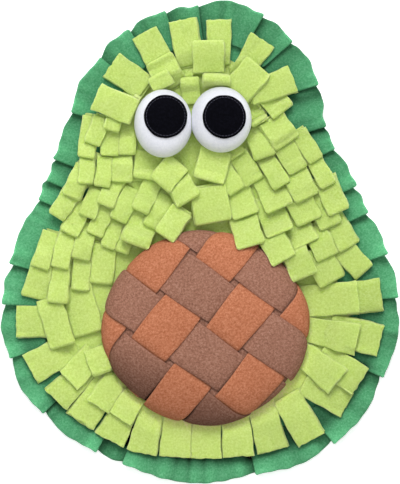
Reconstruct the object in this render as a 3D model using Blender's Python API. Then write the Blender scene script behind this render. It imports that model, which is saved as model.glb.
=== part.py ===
"""Snuffle mat in the shape of a halved avocado, lying flat with its face up.

A dark green ground panel carries a knife-pleated ruffle all round, a light green panel
inside it, rows of folded light green fleece tabs sewn on narrow tapes, a stuffed pit
covered with woven rust and brown strips, and two stuffed eyes with felt pupils.

Frame: metres, +Z up, the mat's underside on z = 0, +Y towards the narrow end, and the
origin under the middle of the ruffle's outline. Sizes in the tables are millimetres.
"""

import math
from typing import NamedTuple

import bmesh
import bpy
import numpy as np

MM = 0.001
CLEAR = 0.3

# Flat panels, from the floor up.
GROUND_THICK = 2.2
GROUND_INSET = 24.0
FLESH_THICK = 2.0
FLESH_INSET = 57.0
FLESH_TOP = GROUND_THICK + CLEAR + FLESH_THICK
PANEL_POINTS = 72

# Ruffle: a strip pleated back and forth along the edge.
RUFFLE_THICK = 2.2
RUFFLE_LEVEL = 2.7
RUFFLE_INNER = 40.0
RUFFLE_KNEE = 20.0
RUFFLE_TRIM = 1.6
RUFFLE_LAP = 9.0
RUFFLE_DROP = 14.0
RUFFLE_SWELL = 4.5
RUFFLE_STEP = 30.0

# Tabs: strips folded double, their ends on a tape.
FLEECE = 1.7
ROOT_THICK = 3.9
TAB_THICK = 5.0
TIP_THICK = 5.6
TAPE_WIDTH = 7.0
TAPE_THICK = 1.5
TAPE_BITE = 0.4
TAPE_FORWARD = 1.2
ROOT_FLAT = 8.0
SLOT_START = 4.0
LAY_CLEAR = 0.5
STATIONS = ((0.0, 0.46, 0.78, 1.0), (0.0, 0.32, 0.7, 1.0), (0.0, 0.6, 0.84, 1.0))
SHORTEST = 10.0
CUT_SHARE = 0.45
CUT_COST = 0.25
TAB_APART = 1.6
RAMP = 3.0
FIELD_CELL = 1.0
FIELD_HALF = 280.0

# Pit: a stuffed dome with four strips woven each way.
PIT_X, PIT_Y = 6.1, -90.9
PIT_RADIUS = 104.0
PIT_SQUASH = 97.0 / 103.5
PIT_RISE = 21.0
PIT_EQUATOR = 18.0
PIT_TUCK_Z = 12.5
PIT_TUCK_WIDTH = 16.0
PIT_FOOT_INSET = 15.0
PIT_POWER = 2.6
PIT_STRAIGHT = 92.0
PIT_WRAP = 1.3
PIT_ROOF = ((88.0, 100.0, 106.0, 109.5, 110.0), (4.8, 10.3, 10.3, 16.0, 1000.0))
WEAVE_ANGLE = math.radians(53.0)
WEAVE_THICK = 2.0
WEAVE_LOW = 1.7
WEAVE_HIGH = 4.2
WEAVE_CROWN = 0.8
WEAVE_END = 140.0
WEAVE_REACH = 125.0

# Eyes: stuffed balls flattened where they sit on the mat and where they meet.
EYE_CENTRE_Z = 26.0
EYE_RISE = 23.0
EYE_POWER = 2.5
PUPIL_RADIUS = 22.5
PUPIL_THICK = 1.8
PUPIL_LIFT = 0.9

RUST = (0.56, 0.18, 0.075)
BROWN = (0.33, 0.165, 0.105)
LEAF = (0.55, 0.72, 0.17)
PINE = (0.075, 0.33, 0.16)
SNOW = (0.82, 0.81, 0.88)
INK = (0.008, 0.008, 0.014)

# The ruffle's outline, anticlockwise from the narrow end.
EDGE_POINTS = (
    (24, 253), (-10, 249), (-53, 237), (-97, 206), (-129, 159), (-146, 103), (-167, 55),
    (-193, -6), (-208, -68), (-201, -121), (-174, -171), (-125, -211), (-65, -240),
    (0, -252), (66, -244), (130, -219), (176, -171), (201, -116), (208, -61), (193, -6),
    (168, 47), (147, 89), (130, 125), (123, 168), (102, 206), (66, 239),
)


class Pleat(NamedTuple):
    """A knife pleat: its bearing from the origin, and +1 where the anticlockwise side is on top."""

    bearing: float
    over: int


PLEATS = (
    Pleat(12, 1), Pleat(22, 1), Pleat(37, 1), Pleat(45, 1), Pleat(55, 1), Pleat(67, 1),
    Pleat(76, 1), Pleat(92, 1), Pleat(100, 1), Pleat(110, 1), Pleat(120, 1), Pleat(133, -1),
    Pleat(148, -1), Pleat(156, -1), Pleat(163, -1), Pleat(185, -1), Pleat(196, -1),
    Pleat(210, -1), Pleat(226, -1), Pleat(242, -1), Pleat(252, 1), Pleat(285, 1),
    Pleat(305, 1), Pleat(325, 1), Pleat(346, 1), Pleat(358, 1),
)


class Tip(NamedTuple):
    """Where the middle of a tab's tip lies, where the tab points in degrees, and its width."""

    x: float
    y: float
    turn: float
    width: float


class Row(NamedTuple):
    """A sewn row: how many tabs, the tips of its first, middle and last or of all, their length, and
    whether their ends are cut or folded."""

    name: str
    count: int
    tips: tuple
    length: float
    cut: bool


# Rows from the lowest to the topmost; the first ones have their roots under the pit's rim.
ROWS_UNDER_PIT = (
    Row("hip_left", 1, (Tip(-194, -84, 180, 31),), 36, True),
    Row("toe", 10, (
        Tip(-180, -135, 209, 32), Tip(-153, -168, 226, 29), Tip(-127, -191, 236, 31),
        Tip(-96, -210, 242, 31.5), Tip(-62, -223, 257, 30), Tip(-27, -228, 265, 31.5),
        Tip(6, -230, 269, 31.5), Tip(41, -227, 274, 31.5), Tip(77, -221, 284, 31),
        Tip(118, -210, 300, 29.5),
    ), 45, True),
    Row("toe_right_low", 1, (Tip(156, -173, 331, 27),), 44, True),
    Row("toe_right", 3, (
        Tip(170, -148, 326, 31), Tip(191, -105, 346, 32), Tip(192, -55, 368, 32),
    ), 46, True),
    Row("toe_left_in", 3, (
        Tip(-139, -147, 226, 25), Tip(-108, -174, 236, 26), Tip(-85, -187, 238, 26),
    ), 31, True),
    Row("cheek_left", 2, (Tip(-145, -110, 287, 25), Tip(-118, -97, 286, 31)), 44, False),
    Row("cheek_low", 1, (Tip(-103, -139, 290, 20),), 34, False),
    Row("toe_right_in", 3, (
        Tip(146, -148, 322, 31), Tip(167, -104, 348, 32), Tip(168, -58, 365, 32),
    ), 54, True),
    Row("hip_right", 1, (Tip(174, -32, 312, 23),), 40, False),
)
ROWS_OVER_PIT = (
    Row("right_7", 1, (Tip(140, -42, 298, 28),), 40, False),
    Row("right_6", 3, (Tip(111, -37, 293, 26), Tip(135, -16, 295, 24), Tip(158, -5, 300, 23)), 40, False),
    Row("right_5", 3, (Tip(89, -19, 300, 26), Tip(112, -2, 296, 27), Tip(139, 17, 294, 23)), 40, False),
    Row("right_4", 4, (Tip(54, -4, 286, 28), Tip(100, 16, 293, 28), Tip(147, 32, 294, 22)), 40, False),
    Row("right_3", 4, (Tip(49, 28, 290, 26), Tip(100, 41, 295, 28), Tip(136, 60, 299, 16)), 40, False),
    Row("right_2", 5, (
        Tip(39, 54, 303, 19), Tip(58, 64, 302, 20), Tip(87, 60, 301, 18),
        Tip(104, 76, 300, 21), Tip(123, 87, 302, 16),
    ), 36, False),
    Row("right_1", 2, (Tip(39, 91, 303, 18), Tip(69, 90, 290, 22)), 34, False),
    Row("right_1_end", 1, (Tip(93, 105, 304, 27),), 32, False),
    Row("right_0", 2, (Tip(64, 126, 300, 18), Tip(88, 138, 307, 25)), 32, False),
    Row("left_8", 4, (
        Tip(-176, -59, 256, 26), Tip(-151, -64, 264, 20), Tip(-127, -51, 266, 20),
        Tip(-105, -44, 264, 26),
    ), 42, False),
    Row("left_7", 5, (
        Tip(-170, -27, 252, 18), Tip(-149, -27, 256, 18), Tip(-127, -18, 256, 18),
        Tip(-98, -6, 250, 18), Tip(-83, -11, 250, 18),
    ), 40, False),
    Row("left_6", 3, (Tip(-139, 9, 243, 18), Tip(-112, 8, 247, 17), Tip(-69, -3, 250, 29)), 38, False),
    Row("left_5", 4, (
        Tip(-152, 27, 238, 18), Tip(-120, 27, 249, 16), Tip(-87, 23, 244, 18),
        Tip(-52, 16, 242, 17),
    ), 38, False),
    Row("left_4", 3, (Tip(-137, 48, 246, 18), Tip(-101, 39, 246, 17), Tip(-64, 33, 245, 18)), 36, False),
    Row("left_3", 3, (Tip(-121, 62, 266, 14), Tip(-104, 59, 263, 15.5), Tip(-83, 64, 268, 21)), 32, False),
    Row("left_2", 3, (Tip(-121, 90, 262, 17), Tip(-96, 92, 267, 19), Tip(-77, 93, 270, 18)), 44, False),
    Row("left_1", 1, (Tip(-114, 104, 249, 16),), 30, False),
    Row("left_0", 1, (Tip(-94, 118, 254, 15),), 26, False),
    Row("left_z", 1, (Tip(-81, 144, 232, 16),), 24, False),
    Row("crown_left", 3, (
        Tip(-110, 154, 157, 27), Tip(-94, 188, 145, 28), Tip(-59, 222, 118, 27),
    ), 44, True),
    Row("mid_low", 1, (Tip(15, 21, 281, 37),), 38, False),
    Row("mid_rim", 1, (Tip(-38, 6, 236, 22),), 34, False),
    Row("mid_cross", 1, (Tip(-11, 44, 301, 25),), 34, False),
    Row("brow_left", 1, (Tip(-58, 67, 262, 26),), 34, False),
    Row("brow_mid", 1, (Tip(-43, 61, 229, 25),), 42, False),
    Row("brow_right", 1, (Tip(9, 65, 256, 31),), 34, False),
    Row("crown_right", 4, (
        Tip(-19, 235, 101, 27), Tip(20, 236, 91, 25), Tip(67, 215, 57, 28),
        Tip(98, 173, 20, 27),
    ), 48, True),
    Row("crown_in", 2, (Tip(-44, 194, 119, 29), Tip(9, 213, 90, 31)), 34, False),
    Row("brow_top_left", 1, (Tip(-45, 177, 118, 22),), 16, False),
    Row("crown_side", 1, (Tip(62, 186, 49, 30),), 42, False),
    Row("brow_gap", 1, (Tip(-11, 174, 95, 18),), 28, False),
    Row("brow_top", 1, (Tip(18, 178, 87, 26),), 26, False),
)


def clear_scene():
    """Removes every object that the scene holds."""
    for old in list(bpy.data.objects):
        bpy.data.objects.remove(old, do_unlink=True)


def fabric(name, colour, roughness=0.95):
    """A matt cloth material."""
    material = bpy.data.materials.new(name)
    material.use_nodes = True
    shader = material.node_tree.nodes["Principled BSDF"]
    shader.inputs["Base Color"].default_value = (*colour, 1.0)
    shader.inputs["Roughness"].default_value = roughness
    shader.inputs["Metallic"].default_value = 0.0
    return material


def add_mesh(name, points, faces, collection, material):
    """A mesh object from points in millimetres."""
    mesh = bpy.data.meshes.new(name)
    mesh.from_pydata([tuple(p) for p in np.asarray(points) * MM], [], [list(f) for f in faces])
    mesh.materials.append(material)
    mesh.validate()
    bm = bmesh.new()
    bm.from_mesh(mesh)
    bmesh.ops.recalc_face_normals(bm, faces=bm.faces)
    bm.to_mesh(mesh)
    bm.free()
    made = bpy.data.objects.new(name, mesh)
    collection.objects.link(made)
    return made


def closed_curve(points, count):
    """Evenly spaced points on the Catmull-Rom curve through a closed ring of points."""
    ring = np.array(points, float)
    ends = [np.roll(ring, shift, axis=0) for shift in (1, 0, -1, -2)]
    t = np.linspace(0.0, 1.0, 40, endpoint=False)[None, :, None]
    p0, p1, p2, p3 = (e[:, None, :] for e in ends)
    dense = 0.5 * (
        2 * p1
        + (p2 - p0) * t
        + (2 * p0 - 5 * p1 + 4 * p2 - p3) * t**2
        + (3 * p1 - p0 - 3 * p2 + p3) * t**3
    )
    dense = dense.reshape(-1, 2)
    loop = np.vstack([dense, dense[:1]])
    along = np.concatenate([[0.0], np.cumsum(np.linalg.norm(np.diff(loop, axis=0), axis=1))])
    even = np.linspace(0.0, along[-1], count, endpoint=False)
    return np.stack([np.interp(even, along, loop[:, i]) for i in (0, 1)], axis=1)


class Edge:
    """The mat's outline, read by its length from the narrow end, anticlockwise."""

    def __init__(self):
        self.points = closed_curve(EDGE_POINTS, 1440)
        step = np.roll(self.points, -1, axis=0) - np.roll(self.points, 1, axis=0)
        tangent = step / np.linalg.norm(step, axis=1)[:, None]
        inward = np.stack([-tangent[:, 1], tangent[:, 0]], axis=1)
        window = np.ones(61) / 61.0
        self.inward = np.stack(
            [np.convolve(np.r_[c[-30:], c, c[:30]], window, "valid") for c in inward.T], axis=1
        )
        self.inward /= np.linalg.norm(self.inward, axis=1)[:, None]
        gap = np.linalg.norm(np.roll(self.points, -1, axis=0) - self.points, axis=1)
        self.total = gap.sum()
        self.spacing = self.total / len(self.points)

    def at(self, along, inset):
        """The point at a length along the outline, moved inwards."""
        place = np.mod(along / self.spacing, len(self.points))
        low = int(place)
        high = (low + 1) % len(self.points)
        share = place - low
        here = self.points[low] * (1 - share) + self.points[high] * share
        inward = self.inward[low] * (1 - share) + self.inward[high] * share
        return here + inward * inset

    def length_at(self, bearing):
        """How far along the outline a bearing from the origin, in degrees, meets it."""
        angles = np.degrees(np.arctan2(self.points[:, 1], self.points[:, 0]))
        off = np.abs((angles - bearing + 180.0) % 360.0 - 180.0)
        return float(np.argmin(off)) * self.spacing


def panel(name, edge, inset, bottom, thick, collection, material):
    """A flat panel with the mat's outline, moved inwards."""
    curve = bpy.data.curves.new(name, "CURVE")
    curve.dimensions = "2D"
    curve.fill_mode = "BOTH"
    curve.extrude = thick / 2 * MM
    spline = curve.splines.new("POLY")
    spline.points.add(PANEL_POINTS - 1)
    spline.use_cyclic_u = True
    for index, point in enumerate(spline.points):
        x, y = edge.at(index * edge.total / PANEL_POINTS, inset)
        point.co = (x * MM, y * MM, 0.0, 1.0)
    curve.materials.append(material)
    made = bpy.data.objects.new(name, curve)
    made.location.z = (bottom + thick / 2) * MM
    collection.objects.link(made)
    return made


def pleat_path(edge):
    """The ruffle's way round: (length along, level, normal along, normal up, swell) at each point."""
    marks = sorted((edge.length_at(p.bearing), p.over) for p in PLEATS)
    half, turn = RUFFLE_LAP / 2, RUFFLE_LEVEL / 2
    path = []
    for index, (mark, over) in enumerate(marks):
        fold = [
            (half, 0.0, 0, 1), (half + turn, 0.5, -1, 0), (half, 1.0, 0, -1),
            (-half, 1.0, 0, -1), (-half - turn, 1.5, -1, 0), (-half, 2.0, 0, 1),
            (half + 2 * RUFFLE_LEVEL, 2.0, 0, 1), (half + RUFFLE_DROP, 0.0, 0, 1),
        ]
        if over < 0:
            fold = [(-s, level, -n, u) for s, level, n, u in reversed(fold)]
        path += [(mark + s, level, n, u, 0.0) for s, level, n, u in fold]
        following = marks[(index + 1) % len(marks)]
        reach = (following[0] - mark) % edge.total
        start = half + (RUFFLE_DROP if over > 0 else 0.0)
        stop = reach - half - (RUFFLE_DROP if following[1] < 0 else 0.0)
        extra = int((stop - start) // RUFFLE_STEP)
        for k in range(1, extra + 1):
            s = start + (stop - start) * k / (extra + 1)
            path.append((mark + s, 0.0, 0, 1, RUFFLE_SWELL * math.sin(math.pi * s / reach)))
    return path


def ruffle(edge, collection, material):
    """The pleated strip: a section of six points carried along the pleats' path."""
    seat = GROUND_THICK + CLEAR + RUFFLE_THICK / 2
    floor = CLEAR + RUFFLE_THICK / 2
    stations = ((RUFFLE_INNER, seat, 0.0), (RUFFLE_KNEE, seat, 0.0), (RUFFLE_TRIM, floor, 1.0))
    rings = []
    for along, level, normal_s, normal_z, swell in pleat_path(edge):
        ring = []
        for side, order in ((-1, stations), (1, stations[::-1])):
            for inset, height, share in order:
                s = along + side * normal_s * RUFFLE_THICK / 2
                x, y = edge.at(s, inset - swell * share - 0.6 * level * share)
                z = height + level * RUFFLE_LEVEL + side * normal_z * RUFFLE_THICK / 2
                ring.append((x, y, z))
        rings.append(ring)
    points = np.array(rings).reshape(-1, 3)
    outer = points[:, :2]
    points[:, :2] -= (outer.max(axis=0) + outer.min(axis=0)) / 2
    size, count = len(rings[0]), len(rings)
    faces = [
        (i * size + j, ((i + 1) % count) * size + j,
         ((i + 1) % count) * size + (j + 1) % size, i * size + (j + 1) % size)
        for i in range(count) for j in range(size)
    ]
    return add_mesh("ruffle", points, faces, collection, material)


class Field:
    """How high the cloth already laid reaches, on a grid of square cells."""

    def __init__(self):
        count = int(2 * FIELD_HALF / FIELD_CELL)
        axis = (np.arange(count) + 0.5) * FIELD_CELL - FIELD_HALF
        self.x, self.y = np.meshgrid(axis, axis, indexing="ij")
        self.top = np.full((count, count), FLESH_TOP)
        self.pit_laid = False

    def look(self, x, y):
        """The heights under some points."""
        i = ((np.asarray(x) + FIELD_HALF) / FIELD_CELL).astype(int)
        j = ((np.asarray(y) + FIELD_HALF) / FIELD_CELL).astype(int)
        return self.top[i, j]

    def lay(self, inside, height):
        """Raises the cells of a mask to a height."""
        raised = np.maximum(self.top, height)
        self.top[inside] = raised[inside]

    def lay_ruffle(self, edge):
        """Lays the ruffle's band, higher where its pleats overlap."""
        flat = GROUND_THICK + CLEAR + RUFFLE_THICK
        for along in np.arange(0.0, edge.total, FIELD_CELL / 2):
            near = min(
                abs((along - edge.length_at(p.bearing) + edge.total / 2) % edge.total - edge.total / 2)
                for p in PLEATS
            )
            reach = RUFFLE_LAP / 2 + RUFFLE_DROP
            stack = flat + 2 * RUFFLE_LEVEL * min(1.0, max(0.0, (reach + 6.0 - near) / 10.0))
            for inset in np.arange(0.0, RUFFLE_INNER + 1.0, FIELD_CELL / 2):
                x, y = edge.at(along, inset)
                i, j = int((x + FIELD_HALF) / FIELD_CELL), int((y + FIELD_HALF) / FIELD_CELL)
                self.top[i, j] = max(self.top[i, j], stack)

    def roof(self, x, y):
        """The underside of the eyes over some points, and that of the pit until it is laid."""
        roof = eye_underside(x, y)
        if self.pit_laid:
            return roof
        radius = np.hypot(x - PIT_X, (y - PIT_Y) / PIT_SQUASH)
        return np.minimum(roof, np.interp(radius, *PIT_ROOF))

    def lay_tab(self, tab):
        """Lays a tab and the tape under its root."""
        rel_x, rel_y = self.x - tab.root[0], self.y - tab.root[1]
        s = rel_x * tab.heading[0] + rel_y * tab.heading[1]
        w = rel_x * tab.across[0] + rel_y * tab.across[1]
        start = TAPE_FORWARD - TAPE_WIDTH / 2 - 0.7
        inside = (s > start) & (s < tab.length + 0.7) & (abs(w) < tab.half_width(s) + 0.7)
        self.lay(inside, tab.top(s))

    def lay_joint(self, tab, after):
        """Lays the tape between two neighbours' roots, with the ramps on both sides of it."""
        side = math.copysign(1.0, (after.root - tab.root) @ tab.across)
        start, stop = (
            one.root - one.across * way * (one.root_width / 2 - RAMP - 0.5) + one.heading * TAPE_FORWARD
            for one, way in ((tab, -side), (after, side))
        )
        run = stop - start
        ahead = ((self.x - start[0]) * run[0] + (self.y - start[1]) * run[1]) / (run @ run)
        share = np.clip(ahead, 0.0, 1.0)
        off = np.hypot(self.x - start[0] - share * run[0], self.y - start[1] - share * run[1])
        self.lay(off < TAPE_WIDTH / 2 + 1.5, max(tab.under[0], after.under[0]) + TAPE_THICK)

    def lay_dome(self, dome):
        """Lays the pit and its strips."""
        dx, dy = self.x - PIT_X, (self.y - PIT_Y) / PIT_SQUASH
        radius = np.hypot(dx, dy)
        rise = dome.height_at(np.minimum(radius, PIT_RADIUS)) + WEAVE_HIGH + WEAVE_THICK
        self.lay(radius < PIT_RADIUS + WEAVE_HIGH + WEAVE_THICK, rise)
        self.pit_laid = True


class Eye(NamedTuple):
    """A stuffed eye: its middle, half sizes, and its pupil's middle."""

    name: str
    x: float
    y: float
    half_x: float
    half_y: float
    pupil_x: float
    pupil_y: float


EYES = (
    Eye("left", -38.9, 125.3, 30.7, 36.0, -36.1, 132.2),
    Eye("right", 23.1, 129.3, 30.7, 34.8, 25.7, 131.9),
)


def eye_height(eye, x, y):
    """The ball's upper height over a plan point."""
    share = np.minimum(np.hypot((x - eye.x) / eye.half_x, (y - eye.y) / eye.half_y), 1.0)
    return EYE_CENTRE_Z + EYE_RISE * np.sqrt(1.0 - share**EYE_POWER)


def eye_underside(x, y):
    """The lower height of the balls over a plan point, far up where there is none."""
    roof = np.full(np.shape(x), 1000.0)
    for eye in EYES:
        share = np.hypot((x - eye.x) / eye.half_x, (y - eye.y) / eye.half_y)
        under = EYE_CENTRE_Z - EYE_RISE * np.sqrt(1.0 - np.minimum(share, 1.0) ** EYE_POWER)
        roof = np.minimum(roof, np.where(share < 1.02, under, 1000.0))
    return roof


class Tab(NamedTuple):
    """A tab's root, heading, crossways way, widths at both ends, length, stations and their heights."""

    root: np.ndarray
    heading: np.ndarray
    across: np.ndarray
    root_width: float
    tip_width: float
    length: float
    along: np.ndarray
    under: np.ndarray

    def half_width(self, s):
        """Half the tab's width at a length from its root."""
        share = np.clip(np.asarray(s) / self.length, 0.0, 1.0)
        return (self.root_width * (1 - share) + self.tip_width * share) / 2

    def thickness(self):
        """The tab's thickness at its four stations."""
        return np.interp(self.along / self.length, (0.0, 0.4, 1.0), (ROOT_THICK, TAB_THICK, TIP_THICK))

    def top(self, s):
        """The height of the tab's upper side at a length from its root."""
        return np.interp(s, self.along, self.under + self.thickness())


def settled(need, s, along, base):
    """The lowest heights at a tab's stations that hold it over the need at every sample."""
    heights = np.full(len(along), base)
    for _ in range(60):
        short = np.where(s > ROOT_FLAT, need - np.interp(s, along, heights), 0.0)
        worst = int(np.argmax(short))
        if short[worst] < 0.02:
            break
        i = min(int(np.searchsorted(along, s[worst], "right")) - 1, len(along) - 2)
        share = (s[worst] - along[i]) / (along[i + 1] - along[i])
        near = 0.0 if i == 0 else 1.0 - share
        push = short[worst] / (near * (1.0 - share) + share * share)
        heights[i] += near * push
        heights[i + 1] += share * push
    return heights


def laid(tab, field):
    """The tab shortened at its root and bent so that it lies lowest on the cloth below."""
    back = TAPE_WIDTH / 2 - TAPE_FORWARD + 0.5
    s = np.arange(-back, tab.length + 0.6, 0.5)
    spread = np.linspace(-1.0, 1.0, 25)[None, :] * (tab.half_width(s)[:, None] + 0.5)
    spots = tab.root + s[:, None, None] * tab.heading + spread[..., None] * tab.across
    floor = field.look(spots[..., 0], spots[..., 1]).max(axis=1)
    roof = field.roof(spots[..., 0], spots[..., 1]).min(axis=1)
    best, best_cost, best_clash = None, math.inf, math.inf
    for cut in np.arange(0.0, tab.length - SHORTEST, 1.5):
        if cut > CUT_SHARE * tab.length and best_clash <= 0.0:
            break
        length = tab.length - cut
        kept = s >= cut - back
        run = np.minimum(s[kept] - cut, length)
        seat = floor[kept & (s <= cut + ROOT_FLAT)].max() + CLEAR + TAPE_BITE
        start = tab._replace(
            root=tab.root + tab.heading * cut, length=length, root_width=2 * float(tab.half_width(cut))
        )
        for share in STATIONS:
            along = length * np.array(share)
            under = settled(floor[kept] + LAY_CLEAR, run, along, seat)
            trial = start._replace(along=along, under=under)
            clash = max(0.0, float((trial.top(run) + 0.6 - roof[kept]).max()))
            cost = under.max() + CUT_COST * cut + 30.0 * clash
            if cost < best_cost:
                best, best_cost, best_clash = trial, cost, clash
    return best


def row_tips(row):
    """The tips of a row's tabs, spread along a curve where only the first, middle and last are known."""
    if row.count == len(row.tips):
        return list(row.tips)
    first, last = row.tips[0], row.tips[-1]
    middle = row.tips[1] if len(row.tips) > 2 else np.mean([first, last], axis=0)
    t = np.linspace(0.0, 1.0, row.count)[:, None]
    spread = (1 - t) * (1 - 2 * t) * np.array(first) + 4 * t * (1 - t) * np.array(middle)
    return [Tip(*tip) for tip in spread + t * (2 * t - 1) * np.array(last)]


def row_tabs(row, field):
    """Places a row's tabs over the cloth already laid, each narrow enough to clear its neighbours."""
    tips = row_tips(row)
    ends = np.array([(tip.x, tip.y) for tip in tips])
    turns = np.radians([tip.turn for tip in tips])
    headings = np.stack([np.cos(turns), np.sin(turns)], axis=1)
    roots = ends - headings * row.length
    widths = np.array([[tip.width, tip.width] for tip in tips], float)
    for k in range(row.count - 1):
        side = headings[k] + headings[k + 1]
        side = np.array([-side[1], side[0]]) / np.linalg.norm(side)
        for end, spots in enumerate((roots, ends)):
            room = abs((spots[k + 1] - spots[k]) @ side) - TAB_APART
            share = min(1.0, room / widths[k : k + 2, end].mean())
            widths[k : k + 2, end] *= share
    tabs = []
    for root, heading, (root_width, tip_width) in zip(roots, headings, widths):
        across = np.array([-heading[1], heading[0]])
        flat = np.zeros(4)
        tab = Tab(root, heading, across, root_width, tip_width, row.length, flat, flat)
        tabs.append(laid(tab, field))
    for tab in tabs:
        field.lay_tab(tab)
    for tab, after in zip(tabs, tabs[1:]):
        field.lay_joint(tab, after)
    return tabs


def tab_points(tab, side_profile):
    """The two ends of a side profile, half the tab's width to each side."""
    profile = np.array(side_profile)
    flat = tab.root + profile[:, :1] * tab.heading
    reach = tab.half_width(profile[:, 0])[:, None] * tab.across
    return np.vstack([np.column_stack([flat + side * reach, profile[:, 1]]) for side in (-1, 1)])


def folded_tab(tab):
    """A strip folded back on itself: a flat loop of cloth with a thin slot through it."""
    s, low = tab.along, tab.under
    high = low + tab.thickness()
    bend = (low[3] + high[3]) / 2
    outer = [(s[0], low[0]), (s[1], low[1]), (s[2], low[2]), (s[3], bend - 1.1),
             (s[3], bend + 1.1), (s[2], high[2]), (s[1], high[1]), (s[0], high[0])]
    inner = [(SLOT_START, low[0] + FLEECE), (s[1], low[1] + FLEECE), (s[2], low[2] + FLEECE),
             (s[3] - FLEECE, bend - 0.4), (s[3] - FLEECE, bend + 0.4), (s[2], high[2] - FLEECE),
             (s[1], high[1] - FLEECE), (SLOT_START, high[0] - FLEECE)]
    lift = (low[1] - low[0]) * SLOT_START / s[1]
    inner[0] = (SLOT_START, low[0] + FLEECE + lift)
    inner[7] = (SLOT_START, high[0] - FLEECE + lift)
    points = np.vstack([tab_points(tab, outer), tab_points(tab, inner)])
    n = len(outer)
    faces = []
    for i in range(n):
        j = (i + 1) % n
        faces += [
            (i, j, j + n, i + n), (i + 2 * n, i + 3 * n, j + 3 * n, j + 2 * n),
            (i, i + 2 * n, j + 2 * n, j), (i + n, j + n, j + 3 * n, i + 3 * n),
        ]
    return points, faces


def cut_tab(tab):
    """Two layers of cloth that part towards their cut ends."""
    s, low = tab.along, tab.under
    high = low + tab.thickness()
    lift = (low[1] - low[0]) * SLOT_START / s[1]
    profile = [(s[0], low[0]), (s[1], low[1]), (s[2], low[2]), (s[3], low[3]),
               (s[3], low[3] + FLEECE), (s[2], low[2] + FLEECE), (s[1], low[1] + FLEECE),
               (SLOT_START, (low[0] + high[0]) / 2 + lift), (s[1], high[1] - FLEECE),
               (s[2], high[2] - FLEECE), (s[3], high[3] - FLEECE),
               (s[3], high[3]), (s[2], high[2]), (s[1], high[1]), (s[0], high[0])]
    points = tab_points(tab, profile)
    n = len(profile)
    faces = [(i, (i + 1) % n, (i + 1) % n + n, i + n) for i in range(n)]
    quads = [
        (0, 1, 6, 7), (1, 2, 5, 6), (2, 3, 4, 5),
        (7, 8, 13, 14), (8, 9, 12, 13), (9, 10, 11, 12), (0, 7, 14),
    ]
    faces += [tuple(q) for q in quads] + [tuple(i + n for i in reversed(q)) for q in quads]
    return points, faces


def tape(row, tabs, collection, material):
    """The narrow strip that holds a row's roots, stepped up where a root lies higher."""
    order = list(tabs)
    if len(tabs) > 1 and (tabs[1].root - tabs[0].root) @ tabs[0].across < 0:
        order.reverse()
    level = [tab.under[0] - TAPE_BITE for tab in order]
    rings = []
    for k, tab in enumerate(order):
        half = tab.root_width / 2 - 0.4
        before = max(level[k], level[k - 1]) if k else level[k]
        after = max(level[k], level[k + 1]) if k + 1 < len(order) else level[k]
        spots = [(-half, before), (-half + RAMP, level[k]), (half - RAMP, level[k]), (half, after)]
        if before == level[k]:
            spots.pop(1)
        if after == level[k]:
            spots.pop(-2)
        for side, bottom in spots:
            middle = tab.root + tab.across * side + tab.heading * TAPE_FORWARD
            back, front = middle - tab.heading * TAPE_WIDTH / 2, middle + tab.heading * TAPE_WIDTH / 2
            top = bottom + TAPE_THICK
            rings.append([(*back, bottom), (*front, bottom), (*front, top), (*back, top)])
    n = len(rings)
    faces = [(i * 4 + j, i * 4 + (j + 1) % 4, (i + 1) * 4 + (j + 1) % 4, (i + 1) * 4 + j)
             for i in range(n - 1) for j in range(4)]
    faces += [(0, 1, 2, 3), tuple((n - 1) * 4 + j for j in (3, 2, 1, 0))]
    return add_mesh(f"tabs_{row.name}", np.array(rings).reshape(-1, 3), faces, collection, material)


def sew_row(row, field, collection, cutters, material):
    """A row of tabs, fused to its tape."""
    tabs = row_tabs(row, field)
    backing = tape(row, tabs, collection, material)
    for index, tab in enumerate(tabs):
        points, faces = cut_tab(tab) if row.cut else folded_tab(tab)
        piece = add_mesh(f"shape_{row.name}_{index}", points, faces, cutters, material)
        piece.hide_render = True
        piece.display_type = "WIRE"
        join = backing.modifiers.new(f"tab_{index}", "BOOLEAN")
        join.operation = "UNION"
        join.solver = "EXACT"
        join.object = piece
    return backing


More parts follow.
